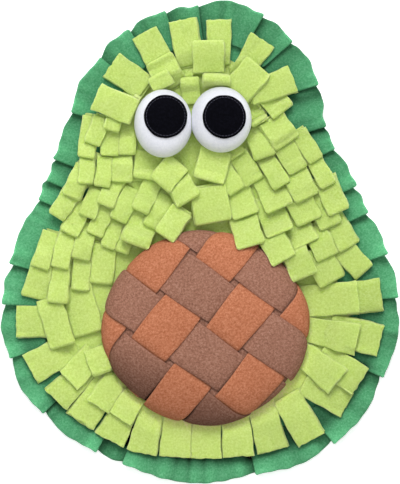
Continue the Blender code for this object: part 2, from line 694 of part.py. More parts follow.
class Dome:
    """The pit's surface: a flattened dome, read by the distance from its crown over the cloth."""

    def __init__(self):
        t = np.linspace(0.0, math.pi / 2, 400)
        radius = PIT_RADIUS * np.sin(t) ** (2 / PIT_POWER)
        height = PIT_EQUATOR + PIT_RISE * np.cos(t)
        u = np.linspace(0.0, math.asin((PIT_EQUATOR - PIT_TUCK_Z) / (PIT_EQUATOR - FLESH_TOP)), 40)[1:]
        radius = np.r_[radius, PIT_RADIUS - PIT_TUCK_WIDTH * (1 - np.cos(u))]
        height = np.r_[height, PIT_EQUATOR - (PIT_EQUATOR - FLESH_TOP) * np.sin(u)]
        self.radius, self.height = radius, height
        self.run = np.r_[0.0, np.cumsum(np.hypot(np.diff(radius), np.diff(height)))]

    def height_at(self, radius):
        """The crown's height over a plan radius."""
        return np.interp(radius, self.radius[:400], self.height[:400])

    def place(self, a, b, lift):
        """The point that lies a along the rust strips and b along the brown, lifted off the dome."""
        far = np.hypot(a, b)
        near = np.interp(np.minimum(far, PIT_STRAIGHT), self.radius[:400], self.run[:400])
        room = self.run[-1] - np.interp(PIT_STRAIGHT, self.radius[:400], self.run[:400])
        over = np.maximum(far - PIT_STRAIGHT, 0.0)
        pulled = near + room * (1.0 - np.exp(-PIT_WRAP * over / room))
        radius = np.interp(pulled, self.run, self.radius)
        height = np.interp(pulled, self.run, self.height)
        slope_r = np.interp(pulled, self.run, np.gradient(self.radius, self.run))
        slope_z = np.interp(pulled, self.run, np.gradient(self.height, self.run))
        steep = np.hypot(slope_r, slope_z)
        radius = radius - lift * slope_z / steep
        height = height + lift * slope_r / steep
        angle = np.arctan2(
            a * math.sin(WEAVE_ANGLE) - b * math.cos(WEAVE_ANGLE),
            a * math.cos(WEAVE_ANGLE) + b * math.sin(WEAVE_ANGLE),
        )
        return np.stack(
            [PIT_X + radius * np.cos(angle), PIT_Y + radius * np.sin(angle) * PIT_SQUASH, height], axis=-1
        )


class Strand(NamedTuple):
    """One way of the weave: its strips' middles and their half width."""

    name: str
    middles: tuple
    half: float


RUST_WAY = Strand("rust", tuple(21.0 + 54.7 * k for k in (-2, -1, 0, 1)), 22.3)
BROWN_WAY = Strand("brown", tuple(-24.8 - 55.8 * k for k in (1, 0, -1, -2)), 24.4)


def weave_lines(way):
    """The lattice lines of one way: four on each strip and one past each end."""
    lines = [m + way.half * f for m in way.middles for f in (-1.0, -0.36, 0.36, 1.0)]
    return np.array([-WEAVE_END, *lines, WEAVE_END])


def shell_of_cells(cells, upper, lower):
    """A closed shell over a set of lattice cells, from its upper and lower points."""
    used = sorted({corner for cell in cells for corner in cell})
    index = {corner: k for k, corner in enumerate(used)}
    points = [upper[c] for c in used] + [lower[c] for c in used]
    count = len(used)
    faces, seen = [], {}
    for cell in cells:
        top = [index[c] for c in cell]
        for a, b, c in ((top[0], top[1], top[2]), (top[0], top[2], top[3])):
            faces += [(a, b, c), (c + count, b + count, a + count)]
        for i, j in zip(top, top[1:] + top[:1]):
            seen[(i, j)] = True
    for i, j in list(seen):
        if (j, i) not in seen:
            faces.append((j, i, i + count, j + count))
    return np.array(points), faces


def kept_cells(a_lines, b_lines, a_range, b_range):
    """The lattice cells of a range that come near enough to the crown."""
    cells = []
    for i in a_range:
        for j in b_range:
            corners = ((i, j), (i + 1, j), (i + 1, j + 1), (i, j + 1))
            if min(math.hypot(a_lines[p], b_lines[q]) for p, q in corners) < WEAVE_REACH:
                cells.append(corners)
    return cells


def strip_level(own, other_count, line, over_first):
    """Whether a strip is on top at a lattice line of the other way."""
    crossing = min(max((line - 1) // 4, 0), other_count - 1)
    return (own + crossing) % 2 == over_first


def pit(dome, collection, materials):
    """The stuffed pad and the eight strips woven over it."""
    a_lines, b_lines = weave_lines(BROWN_WAY), weave_lines(RUST_WAY)
    every_a, every_b = range(len(a_lines) - 1), range(len(b_lines) - 1)
    grid_a, grid_b = np.meshgrid(a_lines, b_lines, indexing="ij")
    skin = dome.place(grid_a, grid_b, 0.0)
    cells = kept_cells(a_lines, b_lines, every_a, every_b)
    foot = skin.copy()
    out = skin[..., :2] - (PIT_X, PIT_Y)
    out /= np.maximum(np.linalg.norm(out, axis=-1), 1e-6)[..., None]
    foot[..., :2] -= out * PIT_FOOT_INSET
    foot[..., 2] = FLESH_TOP + CLEAR
    points, faces = shell_of_cells(cells, skin, foot)
    add_mesh("pit_pad", points, faces, collection, materials["brown"])
    for way, other in ((RUST_WAY, BROWN_WAY), (BROWN_WAY, RUST_WAY)):
        along_a = way is RUST_WAY
        for own in range(len(way.middles)):
            first = 1 + 4 * own
            own_range, far_range = range(first, first + 3), every_a if along_a else every_b
            ranges = (far_range, own_range) if along_a else (own_range, far_range)
            strip = kept_cells(a_lines, b_lines, *ranges)
            lift = np.full(grid_a.shape, WEAVE_LOW)
            for line in range(lift.shape[0 if along_a else 1]):
                if strip_level(own, len(other.middles), line, 0 if along_a else 1):
                    crown = WEAVE_CROWN if (line - 1) % 4 in (1, 2) else 0.0
                    if along_a:
                        lift[line, :] = WEAVE_HIGH + crown
                    else:
                        lift[:, line] = WEAVE_HIGH + crown
            upper = dome.place(grid_a, grid_b, lift + WEAVE_THICK / 2)
            lower = dome.place(grid_a, grid_b, lift - WEAVE_THICK / 2)
            points, faces = shell_of_cells(strip, upper, lower)
            add_mesh(f"strip_{way.name}_{own}", points, faces, collection, materials[way.name])


def eye_pieces(eye, collection, materials):
    """The ball and its domed felt pupil."""
    bm = bmesh.new()
    bmesh.ops.create_uvsphere(bm, u_segments=22, v_segments=12, radius=1.0)
    for vert in bm.verts:
        x, y = eye.x + vert.co.x * eye.half_x, eye.y + vert.co.y * eye.half_y
        rise = float(eye_height(eye, x, y)) - EYE_CENTRE_Z
        z = EYE_CENTRE_Z + math.copysign(rise, vert.co.z)
        vert.co = (x * MM, y * MM, max(z, FLESH_TOP + CLEAR) * MM)
    bmesh.ops.recalc_face_normals(bm, faces=bm.faces)
    mesh = bpy.data.meshes.new(f"eye_{eye.name}")
    bm.to_mesh(mesh)
    bm.free()
    mesh.materials.append(materials["white"])
    mesh.shade_smooth()
    collection.objects.link(bpy.data.objects.new(f"eye_{eye.name}", mesh))
    rings, spokes = 3, 22
    spots = [(eye.pupil_x, eye.pupil_y)]
    for ring in range(1, rings + 1):
        for spoke in range(spokes):
            angle = 2 * math.pi * spoke / spokes
            reach = PUPIL_RADIUS * ring / rings
            spots.append((eye.pupil_x + reach * math.cos(angle), eye.pupil_y + reach * math.sin(angle)))
    flat = np.array(spots)
    height = eye_height(eye, flat[:, 0], flat[:, 1]) + PUPIL_LIFT
    points = np.vstack([np.column_stack([flat, height + PUPIL_THICK]), np.column_stack([flat, height])])
    count = len(flat)
    faces = []
    for spoke in range(spokes):
        after = (spoke + 1) % spokes
        faces.append((0, 1 + spoke, 1 + after))
        for ring in range(rings - 1):
            inner, outer = 1 + ring * spokes, 1 + (ring + 1) * spokes
            faces.append((inner + spoke, outer + spoke, outer + after, inner + after))
    rim = 1 + (rings - 1) * spokes
    faces += [tuple(i + count for i in reversed(face)) for face in list(faces)]
    for spoke in range(spokes):
        here, there = rim + spoke, rim + (spoke + 1) % spokes
        faces.append((here, here + count, there + count, there))
    add_mesh(f"pupil_{eye.name}", points, faces, collection, materials["black"])


def main():
    """Builds the mat from its ground up."""
    clear_scene()
    parts = bpy.data.collections.new("snuffle_mat")
    shapes = bpy.data.collections.new("row_shapes")
    for made in (parts, shapes):
        bpy.context.scene.collection.children.link(made)
    materials = {
        "pine": fabric("dark_green_fleece", PINE), "leaf": fabric("light_green_fleece", LEAF),
        "rust": fabric("rust_fleece", RUST), "brown": fabric("brown_fleece", BROWN),
        "white": fabric("white_plush", SNOW), "black": fabric("black_felt", INK),
    }
    edge = Edge()
    panel("ground", edge, GROUND_INSET, 0.0, GROUND_THICK, parts, materials["pine"])
    panel("flesh", edge, FLESH_INSET, GROUND_THICK + CLEAR, FLESH_THICK, parts, materials["leaf"])
    ruffle(edge, parts, materials["pine"])
    field = Field()
    field.lay_ruffle(edge)
    dome = Dome()
    for row in ROWS_UNDER_PIT:
        sew_row(row, field, parts, shapes, materials["leaf"])
    field.lay_dome(dome)
    pit(dome, parts, materials)
    for row in ROWS_OVER_PIT:
        sew_row(row, field, parts, shapes, materials["leaf"])
    for eye in EYES:
        eye_pieces(eye, parts, materials)


if __name__ == "__main__":
    main()
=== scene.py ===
"""Looks of the avocado snuffle mat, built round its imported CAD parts.

Sizes are millimetres in the mat's own frame: +Z up, +Y towards the narrow end, the underside on
z = 0. Every piece is a cloth surface worked out with numpy, with its thickness in the mesh.
"""

import logging
import math
from dataclasses import dataclass, replace
from enum import Enum
from functools import cache

import bpy
import numpy as np
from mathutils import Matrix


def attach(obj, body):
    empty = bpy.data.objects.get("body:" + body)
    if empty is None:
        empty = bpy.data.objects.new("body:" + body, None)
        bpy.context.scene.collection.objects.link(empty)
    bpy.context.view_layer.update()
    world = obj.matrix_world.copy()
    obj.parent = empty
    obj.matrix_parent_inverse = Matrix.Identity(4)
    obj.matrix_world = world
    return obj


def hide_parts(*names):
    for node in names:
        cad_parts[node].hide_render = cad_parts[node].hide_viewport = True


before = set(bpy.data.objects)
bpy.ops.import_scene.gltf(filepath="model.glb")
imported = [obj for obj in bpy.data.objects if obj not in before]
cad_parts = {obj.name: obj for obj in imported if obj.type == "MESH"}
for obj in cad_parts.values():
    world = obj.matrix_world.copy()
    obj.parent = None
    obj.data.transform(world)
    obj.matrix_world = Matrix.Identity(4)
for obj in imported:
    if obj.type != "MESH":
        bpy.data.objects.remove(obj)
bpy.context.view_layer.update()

Array = np.ndarray
Piece = bpy.types.Object
Socket = bpy.types.NodeSocket
LOG = logging.getLogger("snuffle_mat")
MM = 0.001
TURN = 2 * math.pi
CLEAR = 0.3
NOWHERE = 1000.0

GROUND_THICK = 2.2
GROUND_INSET = 24.0
FLESH_THICK = 2.0
FLESH_INSET = 57.0
FLESH_TOP = GROUND_THICK + CLEAR + FLESH_THICK
FLEECE = 1.7

# The mat's outline, anticlockwise from the narrow end.
EDGE_POINTS = (
    (24, 253), (-10, 249), (-53, 237), (-97, 206), (-129, 159), (-146, 103), (-167, 55),
    (-193, -6), (-208, -68), (-201, -121), (-174, -171), (-125, -211), (-65, -240),
    (0, -252), (66, -244), (130, -219), (176, -171), (201, -116), (208, -61), (193, -6),
    (168, 47), (147, 89), (130, 125), (123, 168), (102, 206), (66, 239),
)


class Slot(Enum):
    """The record's material slots."""

    PINE = "dark_green_fleece"
    LEAF = "light_green_fleece"
    RUST = "rust_fleece"
    BROWN = "brown_fleece"
    SNOW = "white_plush"
    INK = "black_felt"


class Ends(Enum):
    """How the strips of a row end."""

    FOLDED = "folded"
    CUT = "cut"


class Layer(Enum):
    """Whether a row lies under the pit's rim or over it."""

    UNDER_PIT = "under"
    OVER_PIT = "over"


# ---------------------------------------------------------------- finishes


@dataclass
class NodeSheet:
    """A material's node tree, with short ways to add nodes and to feed their inputs."""

    material: bpy.types.Material

    def feed(self, node: bpy.types.Node, inputs: dict[str | int, object]) -> None:
        """Sets a node's inputs, or links them to other nodes' outputs.

        Args:
            node: the node.
            inputs: the values or outputs, by the inputs' names or numbers.
        """
        for key, value in inputs.items():
            if isinstance(value, Socket):
                self.material.node_tree.links.new(value, node.inputs[key])
            else:
                node.inputs[key].default_value = value

    def add(
        self, kind: str, out: str, inputs: dict[str | int, object] | None = None, **settings: object
    ) -> Socket:
        """Adds a node.

        Args:
            kind: the node's type name, less its prefix.
            out: the name of the output that is wanted.
            inputs: what its inputs are fed.
            settings: its properties.

        Returns:
            The output.
        """
        node = self.material.node_tree.nodes.new(f"ShaderNode{kind}")
        for name, value in settings.items():
            setattr(node, name, value)
        self.feed(node, inputs or {})
        return node.outputs[out]

    def maths(self, operation: str, *terms: float | Socket) -> Socket:
        """The result of a maths node on its terms."""
        return self.add("Math", "Value", dict(enumerate(terms)), operation=operation)

    def noise(self, vector: Socket, scale: float, detail: float, rough: float) -> Socket:
        """A noise on a vector, with its scale in cells to a unit."""
        values = {"Vector": vector, "Scale": scale, "Detail": detail, "Roughness": rough}
        return self.add("TexNoise", "Fac", values)


@dataclass(frozen=True)
class ClothFinish:
    """A napped cloth: its colours, the sizes of its pile in millimetres and how it takes light."""

    slot: Slot
    colour: tuple[float, float, float]
    deep: tuple[float, float, float]
    pale: tuple[float, float, float]
    clump: float = 2.6
    fibre: float = 0.9
    broad: float = 55.0
    fibre_share: float = 0.45
    middle: float = 0.725
    spread: float = 0.176
    worn_glint_share: float = 0.35
    drift: float = 0.16
    relief: float = 0.35
    sheen: float = 0.25
    depth: float = 0.0

    @cache
    def material(self) -> bpy.types.Material:
        """Builds the node material, once.

        The colour runs from the deep tone, in the hollows between the pile's clumps, over the cloth's
        own to the pale one, on the clumps' tips and along the cut edges. The cut edges are paler partly
        from wear and partly from a painted highlight where their fuzz catches the light. A broad noise
        shifts the tone by a few percent, and the tone attribute adds painted light and shade as well as
        random tone. Clumps and stretched fibres raise the surface. Cloth with a depth lets light through
        its pile, so that shadows on it are soft.

        Returns:
            The material.
        """
        made = bpy.data.materials.new(self.slot.value)
        made.use_nodes = True
        sheet = NodeSheet(made)
        place = sheet.add("TexCoord", "Object")
        clumps = sheet.noise(place, 1.0 / (self.clump * MM), 4.0, 0.62)
        broad = sheet.noise(place, 1.0 / (self.broad * MM), 2.0, 0.5)
        strand = (1.0 / (self.fibre * MM), 0.35 / (self.fibre * MM), 1.0)
        cut = sheet.add("UVMap", "UV", uv_map="cut")
        drawn = sheet.add("Mapping", "Vector", {"Vector": cut, "Scale": strand})
        pile = sheet.maths("MULTIPLY_ADD", sheet.noise(drawn, 1.0, 2.0, 0.6), self.fibre_share, clumps)
        painted = sheet.add("ValToRGB", "Color", {"Fac": pile})
        stops = painted.node.color_ramp.elements
        stops[0].position, stops[1].position = self.middle - self.spread, self.middle + self.spread
        stops[0].color, stops[1].color = (*self.deep, 1.0), (*self.pale, 1.0)
        stops.new(self.middle).color = (*self.colour, 1.0)
        # Cut edges are paler: partly wear, partly a painted highlight where the fuzz catches light.
        worn_glint = sheet.maths("MULTIPLY", sheet.add("Attribute", "Fac", attribute_name="worn_glint"), self.worn_glint_share)
        layers = {"Factor": worn_glint, "A": painted, "B": (*self.pale, 1.0)}
        edged = sheet.add("Mix", "Result", layers, data_type="RGBA")
        drift = sheet.maths("MULTIPLY_ADD", broad, self.drift, 1.0 - self.drift / 2)
        value = sheet.maths("ADD", drift, sheet.add("Attribute", "Fac", attribute_name="tone"))
        rough = {"Strength": self.relief, "Distance": 1.2 * MM, "Height": pile}
        sheet.feed(made.node_tree.nodes["Principled BSDF"], {
            "Base Color": sheet.add("HueSaturation", "Color", {"Value": value, "Color": edged}),
            "Normal": sheet.add("Bump", "Normal", rough),
            "Roughness": 0.95,
            "Metallic": 0.0,
            "Specular IOR Level": 0.06,
            "Sheen Weight": self.sheen,
            "Sheen Roughness": 0.6,
            "Sheen Tint": (*self.pale, 1.0),
            "Subsurface Weight": float(self.depth > 0),
            "Subsurface Radius": (1.0, 1.0, 1.0),
            "Subsurface Scale": self.depth * MM,
        })
        return made


LEAF = ClothFinish(
    Slot.LEAF, (0.530, 0.673, 0.194), (0.468, 0.612, 0.150), (0.592, 0.732, 0.258), clump=2.2,
    relief=0.55, sheen=0.12, depth=4.0,
)
PINE = ClothFinish(
    Slot.PINE, (0.076, 0.295, 0.136), (0.055, 0.245, 0.106), (0.115, 0.360, 0.184), clump=2.0, sheen=0.12
)
RUST = ClothFinish(
    Slot.RUST, (0.435, 0.158, 0.079), (0.335, 0.106, 0.049), (0.535, 0.222, 0.125), clump=2.0,
    relief=0.6, sheen=0.12,
)
BROWN = ClothFinish(
    Slot.BROWN, (0.285, 0.136, 0.090), (0.205, 0.089, 0.059), (0.380, 0.200, 0.144), clump=2.0,
    relief=0.6, sheen=0.12,
)
SNOW = ClothFinish(
    Slot.SNOW, (0.700, 0.712, 0.765), (0.660, 0.675, 0.735), (0.740, 0.750, 0.795), relief=0.15, sheen=0.0
)
INK = ClothFinish(
    Slot.INK, (0.0016, 0.0016, 0.0034), (0.0010, 0.0010, 0.0022), (0.003, 0.003, 0.006), relief=0.3, sheen=0.0
)
THREAD = ClothFinish(
    Slot.INK, (0.040, 0.040, 0.056), (0.025, 0.025, 0.037), (0.07, 0.07, 0.09), clump=0.8, sheen=0.05
)


# ---------------------------------------------------------------- cloth surfaces


@dataclass
class Shell:
    """A closed skin, with its flat cut, and at each point its edge paleness from wear and painted highlight
    and its tone, painted light and shade included.
    """

    points: Array
    quads: Array
    tris: Array
    cut: Array
    worn_glint: Array
    tone: Array

    @staticmethod
    def joined(shells: list["Shell"]) -> "Shell":
        """Several skins as one, with each one's faces numbered on from the last one's points.

        Args:
            shells: the skins.

        Returns:
            One skin that holds them all.
        """
        starts = np.cumsum([0] + [len(s.points) for s in shells[:-1]])
        return Shell(
            np.vstack([s.points for s in shells]),
            np.vstack([s.quads + k for s, k in zip(shells, starts)]),
            np.vstack([s.tris + k for s, k in zip(shells, starts)]),
            *(np.concatenate([getattr(s, key) for s in shells]) for key in ("cut", "worn_glint", "tone")),
        )

    @staticmethod
    def spun(points: Array, poles: Array) -> "Shell":
        """A skin of spokes by rings, with a fan of faces round each pole.

        Args:
            points: the points, spokes by rings.
            poles: the top point and the bottom one.

        Returns:
            The skin, with its plan as its flat cut.
        """
        spokes, rings = points.shape[:2]
        spots = np.arange(spokes * rings).reshape(spokes, rings)
        after = np.roll(spots, -1, axis=0)
        quads = np.stack([spots[:, :-1], after[:, :-1], after[:, 1:], spots[:, 1:]], axis=-1).reshape(-1, 4)
        top = np.full(spokes, spokes * rings)
        caps = np.vstack([
            np.stack([top, after[:, 0], spots[:, 0]], axis=1),
            np.stack([top + 1, spots[:, -1], after[:, -1]], axis=1),
        ])
        flat = np.vstack([points.reshape(-1, 3), poles])
        none = np.zeros(len(flat))
        return Shell(flat, quads, caps, flat[:, :2], none, none).turned_out()

    def turned_out(self) -> "Shell":
        """The skin with its faces turned so that the volume inside them is positive.

        Returns:
            The skin.
        """
        corners = np.vstack([self.quads[:, :3], self.quads[:, [0, 2, 3]], self.tris])
        a, b, c = (self.points[corners[:, k]] for k in range(3))
        if np.einsum("ij,ij->", a, np.cross(b, c)) < 0:
            return replace(self, quads=self.quads[:, ::-1], tris=self.tris[:, ::-1])
        return self

    def put(self, name: str, finish: ClothFinish, node: str = "") -> Piece:
        """Makes the piece, which rides the mat's body.

        Args:
            name: the piece's name.
            finish: its finish.
            node: the CAD node that it replaces, if any.

        Returns:
            The piece, at the origin.
        """
        mesh = bpy.data.meshes.new(name)
        loops = np.concatenate([self.quads.ravel(), self.tris.ravel()]).astype(np.int32)
        sizes = np.r_[np.full(len(self.quads), 4), np.full(len(self.tris), 3)]
        mesh.vertices.add(len(self.points))
        mesh.vertices.foreach_set("co", (self.points * MM).astype(np.float32).ravel())
        mesh.loops.add(len(loops))
        mesh.loops.foreach_set("vertex_index", loops)
        mesh.polygons.add(len(sizes))
        mesh.polygons.foreach_set("loop_start", np.r_[0, np.cumsum(sizes)[:-1]].astype(np.int32))
        mesh.polygons.foreach_set("use_smooth", np.ones(len(sizes), bool))
        mesh.update(calc_edges=True)
        layer = mesh.uv_layers.new(name="cut")
        layer.data.foreach_set("uv", (self.cut[loops] * MM).astype(np.float32).ravel())
        for key, values in (("worn_glint", self.worn_glint), ("tone", self.tone)):
            held = mesh.attributes.new(key, "FLOAT", "POINT")
            held.data.foreach_set("value", values.astype(np.float32))
        mesh.materials.append(finish.material())
        made = bpy.data.objects.new(name, mesh)
        bpy.context.scene.collection.objects.link(made)
        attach(made, "root")
        if node:
            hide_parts(node)
        return made


# Where the lines along a strip lie across it, from edge to edge.
COARSE = np.array([-1.0, -0.95, -0.82, -0.58, -0.3, 0.0, 0.3, 0.58, 0.82, 0.95, 1.0])
FINE = np.r_[-1.0, -0.96, np.linspace(-0.88, 0.88, 21), 0.96, 1.0]
EDGE_SHARE = 0.6
LIP_SHARE = 0.3


def unit(vectors: Array) -> Array:
    """The vectors divided by their lengths."""
    return vectors / np.maximum(np.linalg.norm(vectors, axis=-1), 1e-9)[..., None]


def lengths(points: Array) -> Array:
    """How far along a line of points each one lies: the sum of the steps before it."""
    return np.r_[0.0, np.cumsum(np.linalg.norm(np.diff(points, axis=0), axis=1))]


def paired(a: Array, b: Array) -> Array:
    """Two coordinates, spread over each other, as points with a last axis of two."""
    return np.stack(np.broadcast_arrays(a, b), axis=-1)


def around(count: int) -> Array:
    """A column of even turns round a circle."""
    return np.linspace(0, TURN, count, endpoint=False)[:, None]


def raised(plan: Array, height: Array) -> Array:
    """A grid of plan points with a height for each, or for each that it spreads to."""
    return np.concatenate([plan, np.broadcast_to(height, plan.shape[:2])[..., None]], axis=-1)


def slab(middle: Array, thick: float, cut: Array, tone: float | Array = 0.0, closed: bool = False) -> Shell:
    """A cloth sheet round its middle surface.

    Each side lies half the thickness along the surface's normal, the cross product of its two grid
    directions, and less at the edges. One more line of points bulges out of each side edge, and the
    ends are closed flat, or joined where the sheet goes round.

    Args:
        middle: the middle surface's grid, lines along the cloth by lines across it.
        thick: the cloth's thickness.
        cut: where each grid point lies on the flat cloth.
        tone: how much paler the cloth is, painted light and shade included, one number or one for each grid
            point.
        closed: whether the last line along joins the first.

    Returns:
        The closed skin.
    """
    rows, columns = middle.shape[:2]
    if closed:
        along = np.roll(middle, -1, axis=0) - np.roll(middle, 1, axis=0)
    else:
        along = np.gradient(middle, axis=0)
    across = np.gradient(middle, axis=1)
    edges = np.zeros((rows, columns), bool)
    edges[:, [0, -1]] = True
    half = np.where(edges, EDGE_SHARE, 1.0) * thick / 2
    if not closed:
        edges[[0, -1]] = True
        half[[0, -1]] *= EDGE_SHARE
    lift = unit(np.cross(along, across)) * half[..., None]
    bulge = unit(across) * LIP_SHARE * thick
    left, right = middle[:, :1] - bulge[:, :1], middle[:, -1:] + bulge[:, -1:]
    points = np.concatenate([middle + lift, right, (middle - lift)[:, ::-1], left], axis=1)
    spots = np.arange(rows * (2 * columns + 2)).reshape(rows, -1)
    after = np.roll(spots, -1, axis=0) if closed else spots[1:]
    here = spots if closed else spots[:-1]
    quads = np.stack([here, after, np.roll(after, -1, axis=1), np.roll(here, -1, axis=1)], axis=-1)
    quads, tris = quads.reshape(-1, 4), np.zeros((0, 3), int)
    if not closed:
        j = np.arange(columns - 1)
        cap = np.stack([j, j + 1, 2 * columns - j - 1, 2 * columns - j], axis=1)
        corner = np.array([(columns - 1, columns, columns + 1), (0, 2 * columns, 2 * columns + 1)])
        far = spots[-1, 0]
        quads = np.vstack([quads, cap, cap[:, ::-1] + far])
        tris = np.vstack([corner, corner[:, ::-1] + far])
    flat, worn_glint, tones = (
        np.concatenate([grid, grid[:, -1:], grid[:, ::-1], grid[:, :1]], axis=1)
        for grid in (cut, edges.astype(float), np.broadcast_to(tone, (rows, columns)))
    )
    skin = Shell(points.reshape(-1, 3), quads, tris, flat.reshape(-1, 2), worn_glint.ravel(), tones.ravel())
    return skin.turned_out()


def eased(share: Array) -> Array:
    """A smooth step from 0 to 1: three times the square less twice the cube."""
    t = np.clip(share, 0.0, 1.0)
    return t * t * (3.0 - 2.0 * t)


def bent_through(at: Array, knots: Array, heights: Array) -> Array:
    """A smooth curve through knots that never overshoots them.

    Each knot's slope is the harmonic mean of its neighbours' slopes, or nought where they differ in
    sign, and a cubic joins the knots.

    Args:
        at: where the curve is read.
        knots: the knots' places, rising.
        heights: the knots' heights.

    Returns:
        The heights there.
    """
    width, slope = np.diff(knots), np.diff(heights) / np.diff(knots)
    both = slope[:-1] * slope[1:]
    inner = np.where(both > 0, 2 * both / np.where(both > 0, slope[:-1] + slope[1:], 1.0), 0.0)
    lean = np.r_[0.0, inner, slope[-1] * 0.5]
    place = np.clip(np.searchsorted(knots, at, "right") - 1, 0, len(width) - 1)
    t = np.clip((at - knots[place]) / width[place], 0.0, 1.0)
    return (
        (2 * t**3 - 3 * t**2 + 1) * heights[place]
        + (t**3 - 2 * t**2 + t) * width[place] * lean[place]
        + (3 * t**2 - 2 * t**3) * heights[place + 1]
        + (t**3 - t**2) * width[place] * lean[place + 1]
    )


def closed_curve(points: tuple[tuple[float, float], ...], count: int) -> Array:
    """Evenly spaced points on the Catmull-Rom curve through a ring of points.

    Args:
        points: the ring.
        count: how many points to return.

    Returns:
        The points, an array of (count, 2).
    """
    ring = np.array(points, float)
    p0, p1, p2, p3 = (np.roll(ring, shift, axis=0)[:, None] for shift in (1, 0, -1, -2))
    t = np.linspace(0.0, 1.0, 40, endpoint=False)[None, :, None]
    square = 2 * p0 - 5 * p1 + 4 * p2 - p3
    dense = 0.5 * (2 * p1 + (p2 - p0) * t + square * t**2 + (3 * p1 - p0 - 3 * p2 + p3) * t**3)
    loop = np.vstack([dense.reshape(-1, 2), dense[0, :1]])
    along = lengths(loop)
    even = np.linspace(0.0, along[-1], count, endpoint=False)
    return np.stack([np.interp(even, along, loop[:, i]) for i in (0, 1)], axis=1)


@dataclass
class Outline:
    """The mat's outline, read by its length from the narrow end, anticlockwise."""

    count: int = 1440
    smoothed: int = 30

    def __post_init__(self) -> None:
        """Works out the points, the length and the ways inward, smoothed over a few centimetres."""
        self.points = closed_curve(EDGE_POINTS, self.count)
        tangent = unit(np.roll(self.points, -1, axis=0) - np.roll(self.points, 1, axis=0))
        side = self.smoothed
        window = np.ones(2 * side + 1) / (2 * side + 1)
        self.inward = unit(np.stack([
            np.convolve(np.r_[c[-side:], c, c[:side]], window, "valid")
            for c in (-tangent[:, 1], tangent[:, 0])
        ], axis=1))
        gap = np.linalg.norm(np.roll(self.points, -1, axis=0) - self.points, axis=1)
        self.total = float(gap.sum())
        self.spacing = self.total / self.count

    def at(self, along: Array, inset: Array) -> Array:
        """Points at lengths along the outline, moved inwards.

        Args:
            along: the lengths.
            inset: how far inwards each lies.

        Returns:
            The plan points, with a last axis of two.
        """
        along, inset = np.broadcast_arrays(np.asarray(along, float), np.asarray(inset, float))
        place = np.mod(along / self.spacing, self.count)
        low = place.astype(int) % self.count
        high = (low + 1) % self.count
        share = (place - np.floor(place))[..., None]
        here = self.points[low] * (1 - share) + self.points[high] * share
        inward = self.inward[low] * (1 - share) + self.inward[high] * share
        return here + inward * inset[..., None]

    def length_at(self, bearing: float) -> float:
        """How far along the outline a bearing from the origin, in degrees, meets it."""
        angles = np.degrees(np.arctan2(self.points[:, 1], self.points[:, 0]))
        return float(np.argmin(np.abs((angles - bearing + 180.0) % 360.0 - 180.0))) * self.spacing


@dataclass
class Dome:
    """The pit's surface: a flattened dome whose rim turns under, and the light painted beside its rim where
    its shadow falls.
    """

    x: float = 6.1
    y: float = -90.9
    radius: float = 104.0
    squash: float = 97.0 / 103.5
    rise: float = 21.0
    equator: float = 18.0
    tuck_level: float = 12.5
    tuck_width: float = 16.0
    power: float = 2.6
    straight: float = 92.0
    wrap: float = 1.3
    angle: float = math.radians(53.0)
    glow: float = 0.7
    glow_start: float = 3.0
    glow_reach: float = 10.0
    glow_way: tuple[float, float] = (0.35, -0.94)
    crown_count: int = 400

    def __post_init__(self) -> None:
        """Works out the dome's profile: its plan radius and height by the length from the crown."""
        t = np.linspace(0.0, math.pi / 2, self.crown_count)
        turned = math.asin((self.equator - self.tuck_level) / (self.equator - FLESH_TOP))
        u = np.linspace(0.0, turned, 40)[1:]
        under = self.radius - self.tuck_width * (1 - np.cos(u))
        self.radii = np.r_[self.radius * np.sin(t) ** (2 / self.power), under]
        below = self.equator - (self.equator - FLESH_TOP) * np.sin(u)
        self.heights = np.r_[self.equator + self.rise * np.cos(t), below]
        self.run = lengths(paired(self.radii, self.heights))

    def height_at(self, radius: Array) -> Array:
        """The crown's height over a plan radius."""
        return np.interp(radius, self.radii[:self.crown_count], self.heights[:self.crown_count])

    def radius_at(self, x: Array, y: Array) -> Array:
        """How far plan points lie from the crown, with the dome's flattening undone."""
        return np.hypot(x - self.x, (y - self.y) / self.squash)

    def painted_light_at(self, plan: Array) -> Array:
        """How much painted light pales the cloth beside the rim, where the pit's shadow falls: a bell curve
        outwards, only on the lower side.

        Args:
            plan: plan points.

        Returns:
            The change of tone at each.
        """
        far = np.maximum(self.radius_at(plan[..., 0], plan[..., 1]), 1.0)
        past = np.maximum(far - self.radius - self.glow_start, 0.0) / self.glow_reach
        x, y = plan[..., 0] - self.x, (plan[..., 1] - self.y) / self.squash
        side = eased((self.glow_way[0] * x + self.glow_way[1] * y) / far)
        return self.glow * side * np.exp(-(past**2))

    def place(self, a: Array, b: Array, lift: Array) -> Array:
        """Points that lie a along the rust strips and b along the brown, lifted off the dome.

        Up to a straight share of the radius the plan distance counts, and past it the strip is drawn
        over the rim: the rest of the profile's length is used up as one less an exponential.

        Args:
            a: lengths along the rust strips from the crown.
            b: lengths along the brown strips from the crown.
            lift: how far off the dome, along its normal.

        Returns:
            The points.
        """
        far = np.hypot(a, b)
        radii, run = self.radii[:self.crown_count], self.run[:self.crown_count]
        near = np.interp(np.minimum(far, self.straight), radii, run)
        room = self.run[-1] - np.interp(self.straight, radii, run)
        pulled = near + room * (1.0 - np.exp(-self.wrap * np.maximum(far - self.straight, 0.0) / room))
        radius, height, slope_r, slope_z = (np.interp(pulled, self.run, values) for values in (
            self.radii, self.heights, np.gradient(self.radii, self.run), np.gradient(self.heights, self.run)
        ))
        steep = np.hypot(slope_r, slope_z)
        radius, height = radius - lift * slope_z / steep, height + lift * slope_r / steep
        sine, cosine = math.sin(self.angle), math.cos(self.angle)
        turn = np.arctan2(a * sine - b * cosine, a * cosine + b * sine)
        return np.stack(
            [self.x + radius * np.cos(turn), self.y + radius * np.sin(turn) * self.squash, height], axis=-1
        )


# ---------------------------------------------------------------- flat panels and the ruffle


